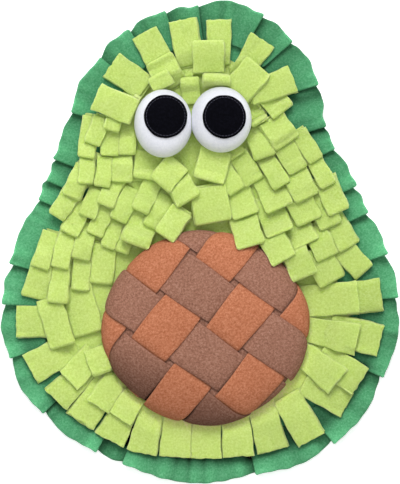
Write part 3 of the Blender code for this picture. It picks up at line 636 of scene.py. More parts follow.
@dataclass
class Panel:
    """A flat panel with the mat's outline, moved inwards."""

    name: str
    node: str
    inset: float
    bottom: float
    thick: float
    finish: ClothFinish

    def build(self, outline: Outline, dome: Dome) -> Piece:
        """Builds the panel as rings of the outline drawn in towards its middle.

        Args:
            outline: the mat's outline.
            dome: the pit's surface, beside whose rim light is painted on the cloth.

        Returns:
            The panel.
        """
        rim = outline.at(np.linspace(0, outline.total, 420, endpoint=False), self.inset)
        shares = np.r_[0.0, np.linspace(0.02, 0.985, 16)][None, :, None]
        plan = rim[:, None] * (1 - shares) + rim.mean(axis=0) * shares
        surface = raised(plan, self.bottom + self.thick / 2)
        # Painted light beside the pit's rim, where the pit's shadow falls.
        skin = slab(surface, self.thick, plan, tone=dome.painted_light_at(plan), closed=True)
        piece = skin.put(self.name, self.finish, self.node)
        return piece


# Each knife pleat: its bearing from the origin, and +1 where its anticlockwise side is on top.
PLEATS = (
    (12, 1), (22, 1), (37, 1), (45, 1), (55, 1), (67, 1), (76, 1), (92, 1), (100, 1), (110, 1),
    (120, 1), (133, -1), (148, -1), (156, -1), (163, -1), (185, -1), (196, -1), (210, -1),
    (226, -1), (242, -1), (252, 1), (285, 1), (305, 1), (325, 1), (346, 1), (358, 1),
)
# Painted light and shade on the ruffle: bearing and spread in degrees, and how much paler it is there.
PAINTED_LIGHT_MARKS = (
    (66, 30, -0.13), (6, 22, 0.15), (168, 12, 0.22), (192, 12, 0.18), (150, 8, -0.08), (215, 14, 0.06),
    (248, 16, -0.06), (272, 10, 0.08), (331, 11, -0.18),
)


@dataclass
class Ruffle:
    """The dark green strip, knife-pleated round the edge: its sizes, then its tones."""

    outline: Outline
    thick: float = 2.2
    level: float = 2.7
    top_layer: float = 1.9
    knee: float = 20.0
    insets: tuple[float, ...] = (40.0, 36, 31, 26, 21, 17, 13.5, 10.5, 8, 6, 4.3, 3, 2.1, 1.6)
    lap: float = 9.0
    drop: float = 14.0
    past: float = 2.3
    inset_fold: float = 1.5
    jut: float = 5.0
    jut_held: float = 0.8
    swell: float = 4.6
    valley: float = 0.4
    fade: float = 1.3
    spacing: float = 7.0
    apart: float = 2.5
    flare: float = 1.3
    wave: float = 5.0
    gathers: int = 44
    gather_reach: float = 3.0
    sink: float = 1.2
    crease_shade: float = 0.72
    crease_shade_reach: float = 7.0
    painted_shade: float = 0.66
    lip_highlight: float = 0.5

    def path(self) -> Array:
        """The strip's way round: stretches that sink from one fold to the next, and folds back and forth.

        Returns:
            Each point's length along the outline, its level, how far it juts out and its tone, with painted
            shade at the folds.
        """
        rng = np.random.default_rng(11)
        marks = sorted((self.outline.length_at(b), over) for b, over in PLEATS)
        half, turn, top, back = self.lap / 2, self.level / 2, self.top_layer, self.inset_fold
        held, reach_of_dark = self.jut_held, self.crease_shade_reach
        juts = self.jut * rng.uniform(0.25, 1.0, len(marks)) ** 1.2
        tones = rng.uniform(-0.05, 0.05, len(marks))
        parts = []
        for index, (mark, over) in enumerate(marks):
            jut = juts[index]
            fold = np.array([
                (half, 0.0, -back), (half + turn, 0.0, -back), (half + turn, 1.0, -1.0), (half, 1.0, -0.5),
                (-half, 1.0, 0.6 * jut), (-half - turn, 1.0, held * jut), (-half - turn, 2.0, jut),
                (-half, 2.0, jut), (half, top, held * jut),
            ])
            if over < 0:
                fold = fold[::-1] * (-1, 1, 1)
            # Painted shade: the fold is darker where it lies low.
            dark = self.crease_shade * np.clip(1 - fold[:, 1] / 1.5, 0.0, 1.0)
            out = fold[:, 2] - self.valley * self.swell
            parts.append((mark + fold[:, 0], fold[:, 1], out, tones[index] - dark))
            after = (index + 1) % len(marks)
            reach = (marks[after][0] - mark) % self.outline.total
            start, stop = max(fold[-1, 0], half) + self.apart, reach - half - self.apart
            count = max(3, int((stop - start) / self.spacing)) if stop > start else 0
            run = np.linspace(start, stop, count)
            share = (run - half) / max(reach - 2 * half, 1.0)
            left = float(over > 0) * (1 - share) ** self.fade
            right = float(marks[after][1] < 0) * share**self.fade
            out = self.swell * (np.sin(np.pi * share.clip(0, 1)) - self.valley)
            out = out + held * (jut + back) * left + held * (juts[after] + back) * right - back
            # Painted shadow near each end of the stretch that runs under a fold's overlapping edge.
            painted_shade = float(marks[after][1] > 0) * np.exp((run - reach + half) / reach_of_dark)
            painted_shade += float(over < 0) * np.exp((half - run) / reach_of_dark)
            parts.append((mark + run, top * (left + right), out, tones[index] - self.crease_shade * painted_shade))
        return np.concatenate(parts, axis=1).T + (0.0, 0.0, self.past, 0.0)

    def painted_light_along(self, along: Array) -> Array:
        """How much painted light pales the ruffle along the outline, or painted shade darkens it: a bell
        curve round each mark.

        Args:
            along: lengths along the outline.

        Returns:
            The change of tone at each.
        """
        outline = self.outline
        bearings = np.unwrap(np.arctan2(outline.points[:, 1], outline.points[:, 0]))
        turn = np.interp(along % outline.total, np.arange(outline.count) * outline.spacing, bearings)
        middle, spread, change = np.array(PAINTED_LIGHT_MARKS).T
        off = (np.degrees(turn)[:, None] - middle + 180.0) % 360.0 - 180.0
        return 0.05 + (change * np.exp(-((off / spread) ** 2))).sum(axis=1)

    def build(self) -> Piece:
        """Builds the pleated strip.

        The path's corners are cut three times, each point giving way to two at a quarter and three
        quarters of the way to the next, so that the folds turn round. Across the strip the sections run
        from the seam on the ground panel to the free edge, where the pleats jut out, rise and wave, and
        where gathers, each a bell curve along the strip, sink it.

        Returns:
            The ruffle.
        """
        outline, path = self.outline, self.path()
        for _ in range(3):
            ahead = np.vstack([path[1:], path[:1] + (outline.total, 0, 0, 0)])
            path = np.stack([0.75 * path + 0.25 * ahead, 0.25 * path + 0.75 * ahead], axis=1).reshape(-1, 4)
        along, level, out, tone = path.T
        insets = np.array(self.insets)
        outer = np.clip((self.knee - insets) / (self.knee - insets[-1]), 0.0, 1.0)
        seat = GROUND_THICK + CLEAR + self.thick / 2
        floor = CLEAR + self.thick / 2
        base = np.where(insets >= self.knee, seat, seat + (floor - seat) * outer)
        waves = 0.5 + sum(
            size * np.sin(TURN * (along / pitch + phase))
            for size, pitch, phase in ((0.32, 41.0, 0.15), (0.30, 27.3, 0.62), (0.20, 17.1, 0.4))
        )
        rng = np.random.default_rng(5)
        spots, sizes = rng.uniform(0.0, outline.total, self.gathers), rng.uniform(0.2, 1.0, self.gathers)
        off = (along[:, None] - spots + outline.total / 2) % outline.total - outline.total / 2
        troughs = np.clip((np.exp(-((off / self.gather_reach) ** 2)) * sizes).sum(axis=1), 0.0, 1.0)
        ripple = np.clip(waves, 0.0, None)[:, None] * outer**1.2 * self.wave
        ripple = ripple - self.sink * troughs[:, None] * outer
        edge = 0.5 * (np.sin(along / 3.1) * np.sin(along / 23.0))[:, None] * outer**4
        plan = outline.at(along[:, None], insets - out[:, None] * outer - edge)
        stack = level[:, None] * self.level * (1.0 + self.flare * outer**1.5)
        surface = raised(plan, np.maximum(base + stack + ripple, floor))
        run = lengths(paired(along, level * self.level))
        cut = paired(run[:, None], insets)
        spot = outline.at(along, 0.0)
        low = 0.5 - 0.5 * spot[:, 1] / np.hypot(spot[:, 0], spot[:, 1])
        # Painted shadow of the tabs on the ruffle's inner part, stronger on the mat's lower side.
        shadow = (0.12 + self.painted_shade * low**2)[:, None] * eased((insets - 9.0) / 13.0)
        # Painted light and shade: the marks along the outline, paler where the ripples rise, darker in the
        # gathers' troughs.
        tones = (tone + self.painted_light_along(along) + 0.16 * (waves - 0.5) - 0.22 * troughs)[:, None] - shadow
        # Painted highlight on the raised top layer of each fold near the free edge.
        tones = tones + self.lip_highlight * np.clip(level / self.top_layer, 0.0, 1.0)[:, None] ** 6 * outer**2
        skin = slab(surface, self.thick, cut, tone=tones, closed=True)
        whole = skin.points[:, :2]
        skin.points[:, :2] -= (whole.max(axis=0) + whole.min(axis=0)) / 2
        piece = skin.put("ruffle_strip", PINE, "ruffle")
        return piece


# ---------------------------------------------------------------- the pit


@dataclass(frozen=True)
class Way:
    """The strips that run one way through the weave, and how much painted shade darkens them at the lower
    rim.
    """

    name: str
    finish: ClothFinish
    middles: tuple[float, ...]
    half: float
    first: int
    phase: float
    painted_shade: float

    def on_top(self, own: int) -> Array:
        """1 where a strip lies over each strip that crosses it and 0 where under, by turns."""
        return ((own + np.arange(len(self.middles))) % 2 == self.first).astype(float)


RUST_WAY = Way("rust", RUST, (-88.4, -33.7, 21.0, 75.7), 22.3, 0, 0.7, 0.12)
BROWN_WAY = Way("brown", BROWN, (-80.6, -24.8, 31.0, 86.8), 24.4, 1, 0.0, 0.58)


@dataclass
class Weave:
    """Four rust and four brown strips, plain-woven over the stuffed pad."""

    dome: Dome
    low: float = 1.7
    high: float = 4.2
    thick: float = 2.0
    puff: float = 1.8
    crease_shade: float = 0.55
    reach: float = 125.0
    gap: float = 5.0
    wander: float = 1.0
    wander_pitch: float = 17.0
    edge_dip: float = 0.5
    painted_shade_way: tuple[float, float] = (-0.35, -0.94)

    def level_along(self, run: Array, over: Array, other: Way) -> tuple[Array, Array]:
        """How high a strip lies along its run, and how much painted shade darkens it where it dives.

        It is high over every other crossing strip, low under the rest, with a smooth step in the gaps,
        and past the last crossing it keeps that one's level. Beside each edge that it dives under it is
        painted darker by a bell curve: a painted shadow of the strip above.

        Args:
            run: lengths along the strip.
            over: 1 for each crossing strip that it lies over.
            other: the strips that cross it.

        Returns:
            The share from 0, low, to 1, high, and the painted shade as a change of tone.
        """
        level = np.full(run.shape, over[0])
        for k, change in enumerate(np.diff(over)):
            start, stop = other.middles[k] + other.half, other.middles[k + 1] - other.half
            level += change * eased((run - start + self.gap / 2) / (stop - start + self.gap))
        past = abs(run[:, None] - np.array(other.middles)[over < 1]) - other.half - 0.6
        return level[:, None], -self.crease_shade * np.exp(-((past / 1.5) ** 2)).max(axis=1)[:, None]

    def strip(self, way: Way, other: Way, own: int) -> Piece:
        """Builds one woven strip.

        The middle surface is the dome lifted by the weave's level, with a crown across the strip as
        the square of the share from its middle, and with edges that wander by a millimetre.

        Args:
            way: its own way.
            other: the strips that cross it.
            own: its place in its way.

        Returns:
            The strip.
        """
        u, middle = FINE, way.middles[own]
        end = math.sqrt(self.reach**2 - max(abs(middle) - way.half, 0.0) ** 2)
        run = np.linspace(-end, end, 181)
        level, crease_shades = self.level_along(run, way.on_top(own), other)
        wander = self.wander * np.sin(run / self.wander_pitch + own * 2.1 + way.phase)[:, None] * u
        near = np.abs(run[:, None] - other.middles).min(axis=1) / other.half
        crown = self.puff * level * (1 - u**2) * (1 - 0.75 * np.clip(near, 0, 1)[:, None] ** 2)
        dip = self.edge_dip * level * eased((np.abs(u) - 0.85) / 0.15)
        spots = (run[:, None] + 0 * u, middle + u * way.half + wander)
        a, b = spots if way is RUST_WAY else spots[::-1]
        surface = self.dome.place(a, b, self.low + (self.high - self.low) * level + crown - dip)
        cut = paired(u * way.half + 70.0 * own, run[:, None])
        # Painted shade: the strips darken towards the pit's lower side and grow a little paler on its upper
        # side.
        off_x, off_y = surface[..., 0] - self.dome.x, surface[..., 1] - self.dome.y
        low = (self.painted_shade_way[0] * off_x + self.painted_shade_way[1] * off_y) / self.dome.radius
        painted_shade = way.painted_shade * eased((low - 0.3) / 0.65) + 0.07 * np.clip(low, -1.0, 0.0)
        tone = crease_shades - painted_shade + 0.02 * math.sin(own * 1.7)
        piece = slab(surface, self.thick, cut, tone=tone).put(
            f"woven_{way.name}_{own}", way.finish, f"strip_{way.name}_{own}"
        )
        return piece

    def pad(self) -> Piece:
        """Builds the stuffed pad: the dome's profile turned round its crown.

        Returns:
            The pad.
        """
        dome = self.dome
        crown = np.linspace(8, dome.crown_count - 1, 44).astype(int)
        picks = np.r_[crown, np.arange(405, len(dome.radii), 8)]
        radii = np.r_[dome.radii[picks], dome.radii[-1] - np.array([4.0, 12.0, 14.0])]
        heights = np.r_[dome.heights[picks], 9.0, FLESH_TOP + CLEAR + 0.4, FLESH_TOP + CLEAR]
        turn = around(180)
        plan = paired(dome.x + radii * np.cos(turn), dome.y + radii * np.sin(turn) * dome.squash)
        poles = np.array([[dome.x, dome.y, dome.heights[0]], [dome.x, dome.y, heights[-1]]])
        skin = Shell.spun(raised(plan, heights), poles)
        piece = replace(skin, tone=skin.tone - 0.08).put("stuffed_pit", BROWN, "pit_pad")
        return piece

    def build(self) -> list[Piece]:
        """Builds the pad and the eight strips."""
        ways = ((RUST_WAY, BROWN_WAY), (BROWN_WAY, RUST_WAY))
        return [self.pad()] + [self.strip(way, other, own) for way, other in ways for own in range(4)]


# ---------------------------------------------------------------- eyes


@dataclass
class Eye:
    """A stuffed ball flattened where it sits, with a felt pupil stitched on it."""

    name: str
    x: float
    y: float
    half_x: float
    half_y: float
    pupil_x: float
    pupil_y: float
    centre: float = 26.0
    rise: float = 23.0
    power: float = 2.5
    pupil_radius: float = 22.5
    pupil_thick: float = 1.8
    pupil_lift: float = 0.9
    stitch_radius: float = 20.3
    stitches: int = 38
    thread: float = 0.42
    meet: float = -9.0
    lit: float = 0.2

    def share(self, x: Array, y: Array) -> Array:
        """How far a plan point lies from the middle, 1 on the ball's widest line."""
        return np.hypot((x - self.x) / self.half_x, (y - self.y) / self.half_y)

    def height(self, x: Array, y: Array, way: float = 1.0) -> Array:
        """The ball's upper height over a plan point, or its lower one where the way is -1."""
        inside = np.minimum(self.share(x, y), 1.0)
        return self.centre + way * self.rise * np.sqrt(1.0 - inside**self.power)

    def under(self, x: Array, y: Array) -> Array:
        """The ball's lower height over a plan point, far up where there is none."""
        return np.where(self.share(x, y) < 1.02, self.height(x, y, -1.0), NOWHERE)

    def ball(self) -> Piece:
        """Builds the ball.

        Its plan share is the sine of the polar angle to the power of two over the ball's own, so that
        the height is the cosine, and the underside stops at the mat. Its lower and right sides are
        painted paler and its top darker: painted light that evens out the shading from the lamp above.

        Returns:
            The ball.
        """
        polar = np.linspace(0.03, math.pi - 0.03, 56)
        turn = around(96)
        share = np.sin(polar) ** (2 / self.power)
        x = self.x + self.half_x * share * np.cos(turn)
        y = self.y + self.half_y * share * np.sin(turn)
        x = np.minimum(x, self.meet) if self.x < self.meet else np.maximum(x, self.meet + CLEAR)
        seat = FLESH_TOP + CLEAR
        z = np.maximum(self.centre + self.rise * np.cos(polar), seat) + 0 * turn
        poles = np.array([[self.x, self.y, self.centre + self.rise], [self.x, self.y, seat]])
        skin = Shell.spun(np.stack([x, y, z], axis=-1), poles)
        right = (skin.points[:, 0] - self.x) / self.half_x
        up = (skin.points[:, 1] - self.y) / self.half_y
        # Painted light: lower side and, by lit, right side paler, top darker, evening out the lamp's shading.
        tone = 0.20 * np.clip(-up, 0.0, 1.0) ** 1.5 - 0.10 * np.clip(up, 0.0, 1.0) ** 2
        tone += self.lit * np.clip(right, 0.0, 1.0) ** 2
        piece = replace(skin, tone=tone).put(f"eyeball_{self.name}", SNOW, f"eye_{self.name}")
        return piece

    def pupil(self) -> Piece:
        """Builds the felt pupil: a round sheet that follows the ball and sinks at its edge.

        Returns:
            The pupil.
        """
        turn = around(120)
        edge = self.pupil_radius * (1 + 0.006 * np.sin(5 * turn + self.x) + 0.004 * np.sin(11 * turn))
        reach = np.r_[1.0, 0.97, 0.92, np.linspace(0.85, 0.02, 14)]
        x, y = self.pupil_x + edge * reach * np.cos(turn), self.pupil_y + edge * reach * np.sin(turn)
        z = self.height(x, y) + self.pupil_lift + self.pupil_thick / 2 - 0.5 * eased((reach - 0.9) / 0.1)
        middle = np.stack([x, y, z], axis=-1)
        skin = slab(middle, self.pupil_thick, middle[..., :2], closed=True)
        return skin.put(f"felt_pupil_{self.name}", INK, f"pupil_{self.name}")

    def stitching(self) -> Piece:
        """Builds the ring of stitches: short six-sided threads, bowed, and thinner where they go in.

        Returns:
            The stitches.
        """
        step = TURN / self.stitches
        run = np.linspace(-0.45, 0.45, 7)
        turn = around(self.stitches) + run * step
        x = self.pupil_x + self.stitch_radius * np.cos(turn)
        y = self.pupil_y + self.stitch_radius * np.sin(turn)
        top = self.height(x, y) + self.pupil_lift + self.pupil_thick
        z = top + self.thread * (0.55 - 1.3 * (2 * np.abs(run)) ** 3)
        girth = self.thread * np.sqrt(np.clip(1 - (2.05 * run) ** 4, 0.05, 1.0))
        out = np.stack([np.cos(turn), np.sin(turn), np.zeros_like(turn)], axis=-1)
        sides = around(6)
        ring = np.cos(sides) * out[:, :, None] + np.sin(sides) * (0.0, 0.0, 1.0)
        points = np.stack([x, y, z], axis=-1)[:, :, None] + ring * girth[None, :, None, None]
        spots = np.arange(points[..., 0].size).reshape(self.stitches, -1, 6)
        after = np.roll(spots, -1, axis=2)
        body = np.stack([spots[:, :-1], spots[:, 1:], after[:, 1:], after[:, :-1]], axis=-1).reshape(-1, 4)
        caps = [
            spots[:, line][:, list(four)[::way]]
            for line, way in ((0, 1), (-1, -1)) for four in ((0, 1, 2, 3), (3, 4, 5, 0))
        ]
        flat = points.reshape(-1, 3)
        none = np.zeros(len(flat))
        skin = Shell(flat, np.vstack([body, *caps]), np.zeros((0, 3), int), flat[:, :2], none, none)
        return skin.turned_out().put(f"pupil_stitches_{self.name}", THREAD)

    def build(self) -> list[Piece]:
        """Builds the ball, the pupil and its stitches.

        Returns:
            The three pieces.
        """
        ball, pupil, stitches = self.ball(), self.pupil(), self.stitching()
        return [ball, pupil, stitches]


EYES = (
    Eye("left", -38.9, 125.3, 30.7, 36.0, -36.1, 132.2),
    Eye("right", 22.4, 129.3, 32.2, 34.8, 25.7, 131.9),
)


# ---------------------------------------------------------------- rows of tabs


# The x and y of the middle of a tab's tip, where the tab points in degrees, and its width.
Tip = tuple[float, float, float, float]


@dataclass(frozen=True)
class Row:
    """A sewn row: how many tabs, the tips of its first, middle and last or of all, and their length."""

    name: str
    count: int
    tips: tuple[Tip, ...]
    length: float
    ends: Ends = Ends.FOLDED
    layer: Layer = Layer.OVER_PIT

    def every_tip(self) -> Array:
        """The tips of all tabs, along a parabola through the known three.

        Returns:
            An array of x, y, turn and width for each tab.
        """
        known = np.array(self.tips, float)
        if self.count == len(known):
            return known
        middle = known[1] if len(known) > 2 else known.mean(axis=0)
        t = np.linspace(0.0, 1.0, self.count)[:, None]
        return (1 - t) * (1 - 2 * t) * known[0] + 4 * t * (1 - t) * middle + t * (2 * t - 1) * known[-1]


# Rows from the lowest to the topmost.
ROWS = (
    Row("hip_left", 1, ((-194, -84, 180, 31),), 36, Ends.CUT, Layer.UNDER_PIT),
    Row("toe", 10, (
        (-180, -135, 209, 32), (-153, -168, 226, 29), (-127, -191, 236, 31), (-96, -210, 242, 31.5),
        (-62, -223, 257, 30), (-27, -228, 265, 31.5), (6, -230, 269, 31.5), (41, -227, 274, 31.5),
        (77, -221, 284, 31), (118, -210, 300, 29.5),
    ), 45, Ends.CUT, Layer.UNDER_PIT),
    Row("toe_right_low", 1, ((156, -173, 331, 27),), 44, Ends.CUT, Layer.UNDER_PIT),
    Row("toe_right", 3, (
        (170, -148, 326, 31), (191, -105, 346, 32), (192, -55, 368, 32),
    ), 46, Ends.CUT, Layer.UNDER_PIT),
    Row("toe_left_in", 3, (
        (-139, -147, 226, 25), (-108, -174, 236, 26), (-85, -187, 238, 26),
    ), 31, Ends.CUT, Layer.UNDER_PIT),
    Row("cheek_left", 2, ((-145, -110, 287, 25), (-118, -97, 286, 31)), 44, Ends.FOLDED, Layer.UNDER_PIT),
    Row("cheek_low", 1, ((-103, -139, 290, 20),), 34, Ends.FOLDED, Layer.UNDER_PIT),
    Row("toe_right_in", 3, (
        (146, -148, 322, 31), (167, -104, 348, 32), (168, -58, 365, 32),
    ), 54, Ends.CUT, Layer.UNDER_PIT),
    Row("hip_right", 1, ((174, -32, 312, 23),), 40, Ends.FOLDED, Layer.UNDER_PIT),
    Row("right_7", 1, ((140, -42, 298, 28),), 40),
    Row("right_6", 3, ((111, -37, 293, 26), (135, -16, 295, 24), (158, -5, 300, 23)), 40),
    Row("right_5", 3, ((89, -19, 300, 26), (112, -2, 296, 27), (139, 17, 294, 23)), 40),
    Row("right_4", 4, ((54, -4, 286, 28), (100, 16, 293, 28), (147, 32, 294, 22)), 40),
    Row("right_3", 4, ((49, 28, 290, 26), (100, 41, 295, 28), (136, 60, 299, 16)), 40),
    Row("right_2", 5, (
        (39, 54, 303, 19), (58, 64, 302, 20), (87, 60, 301, 18), (104, 76, 300, 21), (123, 87, 302, 16),
    ), 36),
    Row("right_1", 2, ((39, 91, 303, 18), (69, 90, 290, 22)), 34),
    Row("right_1_end", 1, ((93, 105, 304, 27),), 32),
    Row("right_0", 2, ((64, 126, 300, 18), (88, 138, 307, 25)), 32),
    Row("left_8", 4, (
        (-176, -59, 256, 26), (-151, -64, 264, 20), (-127, -51, 266, 20), (-105, -44, 264, 26),
    ), 42),
    Row("left_7", 5, (
        (-170, -27, 252, 18), (-149, -27, 256, 18), (-127, -18, 256, 18), (-98, -6, 250, 18),
        (-83, -11, 250, 18),
    ), 40),
    Row("left_6", 3, ((-139, 9, 243, 18), (-112, 8, 247, 17), (-69, -3, 250, 29)), 38),
    Row("left_5", 4, (
        (-152, 27, 238, 18), (-120, 27, 249, 16), (-87, 23, 244, 18), (-52, 16, 242, 17),
    ), 38),
    Row("left_4", 3, ((-137, 48, 246, 18), (-101, 39, 246, 17), (-64, 33, 245, 18)), 36),
    Row("left_3", 3, ((-121, 62, 266, 14), (-104, 59, 263, 15.5), (-83, 64, 268, 21)), 32),
    Row("left_2", 3, ((-121, 90, 262, 17), (-96, 92, 267, 19), (-77, 93, 270, 18)), 44),
    Row("left_1", 1, ((-114, 104, 249, 16),), 30),
    Row("left_0", 1, ((-94, 118, 254, 15),), 26),
    Row("left_z", 1, ((-81, 144, 232, 16),), 24),
    Row("crown_left", 3, ((-110, 154, 157, 27), (-94, 188, 145, 28), (-59, 222, 118, 27)), 44, Ends.CUT),
    Row("mid_low", 1, ((15, 21, 281, 37),), 38),
    Row("mid_rim", 1, ((-38, 6, 236, 22),), 34),
    Row("mid_cross", 1, ((-11, 44, 301, 25),), 34),
    Row("brow_left", 1, ((-58, 67, 262, 26),), 34),
    Row("brow_mid", 1, ((-43, 61, 229, 25),), 42),
    Row("brow_right", 1, ((9, 65, 256, 31),), 34),
    Row("crown_right", 4, (
        (-19, 235, 101, 27), (20, 236, 91, 25), (67, 215, 57, 28), (98, 173, 20, 27),
    ), 48, Ends.CUT),
    Row("crown_in", 2, ((-44, 194, 119, 29), (9, 213, 90, 31)), 34),
    Row("brow_top_left", 1, ((-45, 177, 118, 22),), 16),
    Row("crown_side", 1, ((62, 186, 49, 30),), 42),
    Row("brow_gap", 1, ((-11, 174, 95, 18),), 28),
    Row("brow_top", 1, ((18, 178, 87, 26),), 26),
)


@dataclass
class TabRule:
    """The sizes that the tabs share, and the shares of a tab's length where it may bend."""

    thick: tuple[float, ...] = (3.9, 5.0, 5.6)
    thick_at: tuple[float, ...] = (0.0, 0.4, 1.0)
    tape_width: float = 7.0
    tape_thick: float = 1.5
    tape_bite: float = 0.4
    tape_forward: float = 1.2
    root_flat: float = 8.0
    lay_clear: float = 0.5
    side_clear: float = 0.7
    roof_clear: float = 0.6
    shortest: float = 10.0
    cut_step: float = 1.5
    cut_share: float = 0.45
    cut_cost: float = 0.25
    clash_cost: float = 30.0
    apart: float = 1.6
    ramp: float = 3.0
    stations: tuple[tuple[float, ...], ...] = (
        (0.0, 0.46, 0.78, 1.0), (0.0, 0.32, 0.7, 1.0), (0.0, 0.6, 0.84, 1.0),
    )


RULE = TabRule()


@dataclass
class Tab:
    """A tab's place: root, ways along and across it, widths, length, and heights at its stations."""

    root: Array
    heading: Array
    across: Array
    root_width: float
    tip_width: float
    length: float
    along: Array
    under: Array
    cut: float = 0.0

    def half_width(self, s: Array) -> Array:
        """Half the tab's width at a length from its root."""
        share = np.clip(np.asarray(s) / self.length, 0.0, 1.0)
        return (self.root_width * (1 - share) + self.tip_width * share) / 2

    def thickness(self, s: Array) -> Array:
        """The folded tab's thickness at a length from its root."""
        return np.interp(np.asarray(s) / self.length, RULE.thick_at, RULE.thick)

    def top(self, s: Array) -> Array:
        """The height of the tab's upper side at a length from its root."""
        return np.interp(s, self.along, self.under + self.thickness(self.along))

    def plan(self, s: Array, w: Array) -> Array:
        """Plan points at lengths from the root and distances across."""
        return self.root + np.asarray(s)[..., None] * self.heading + np.asarray(w)[..., None] * self.across


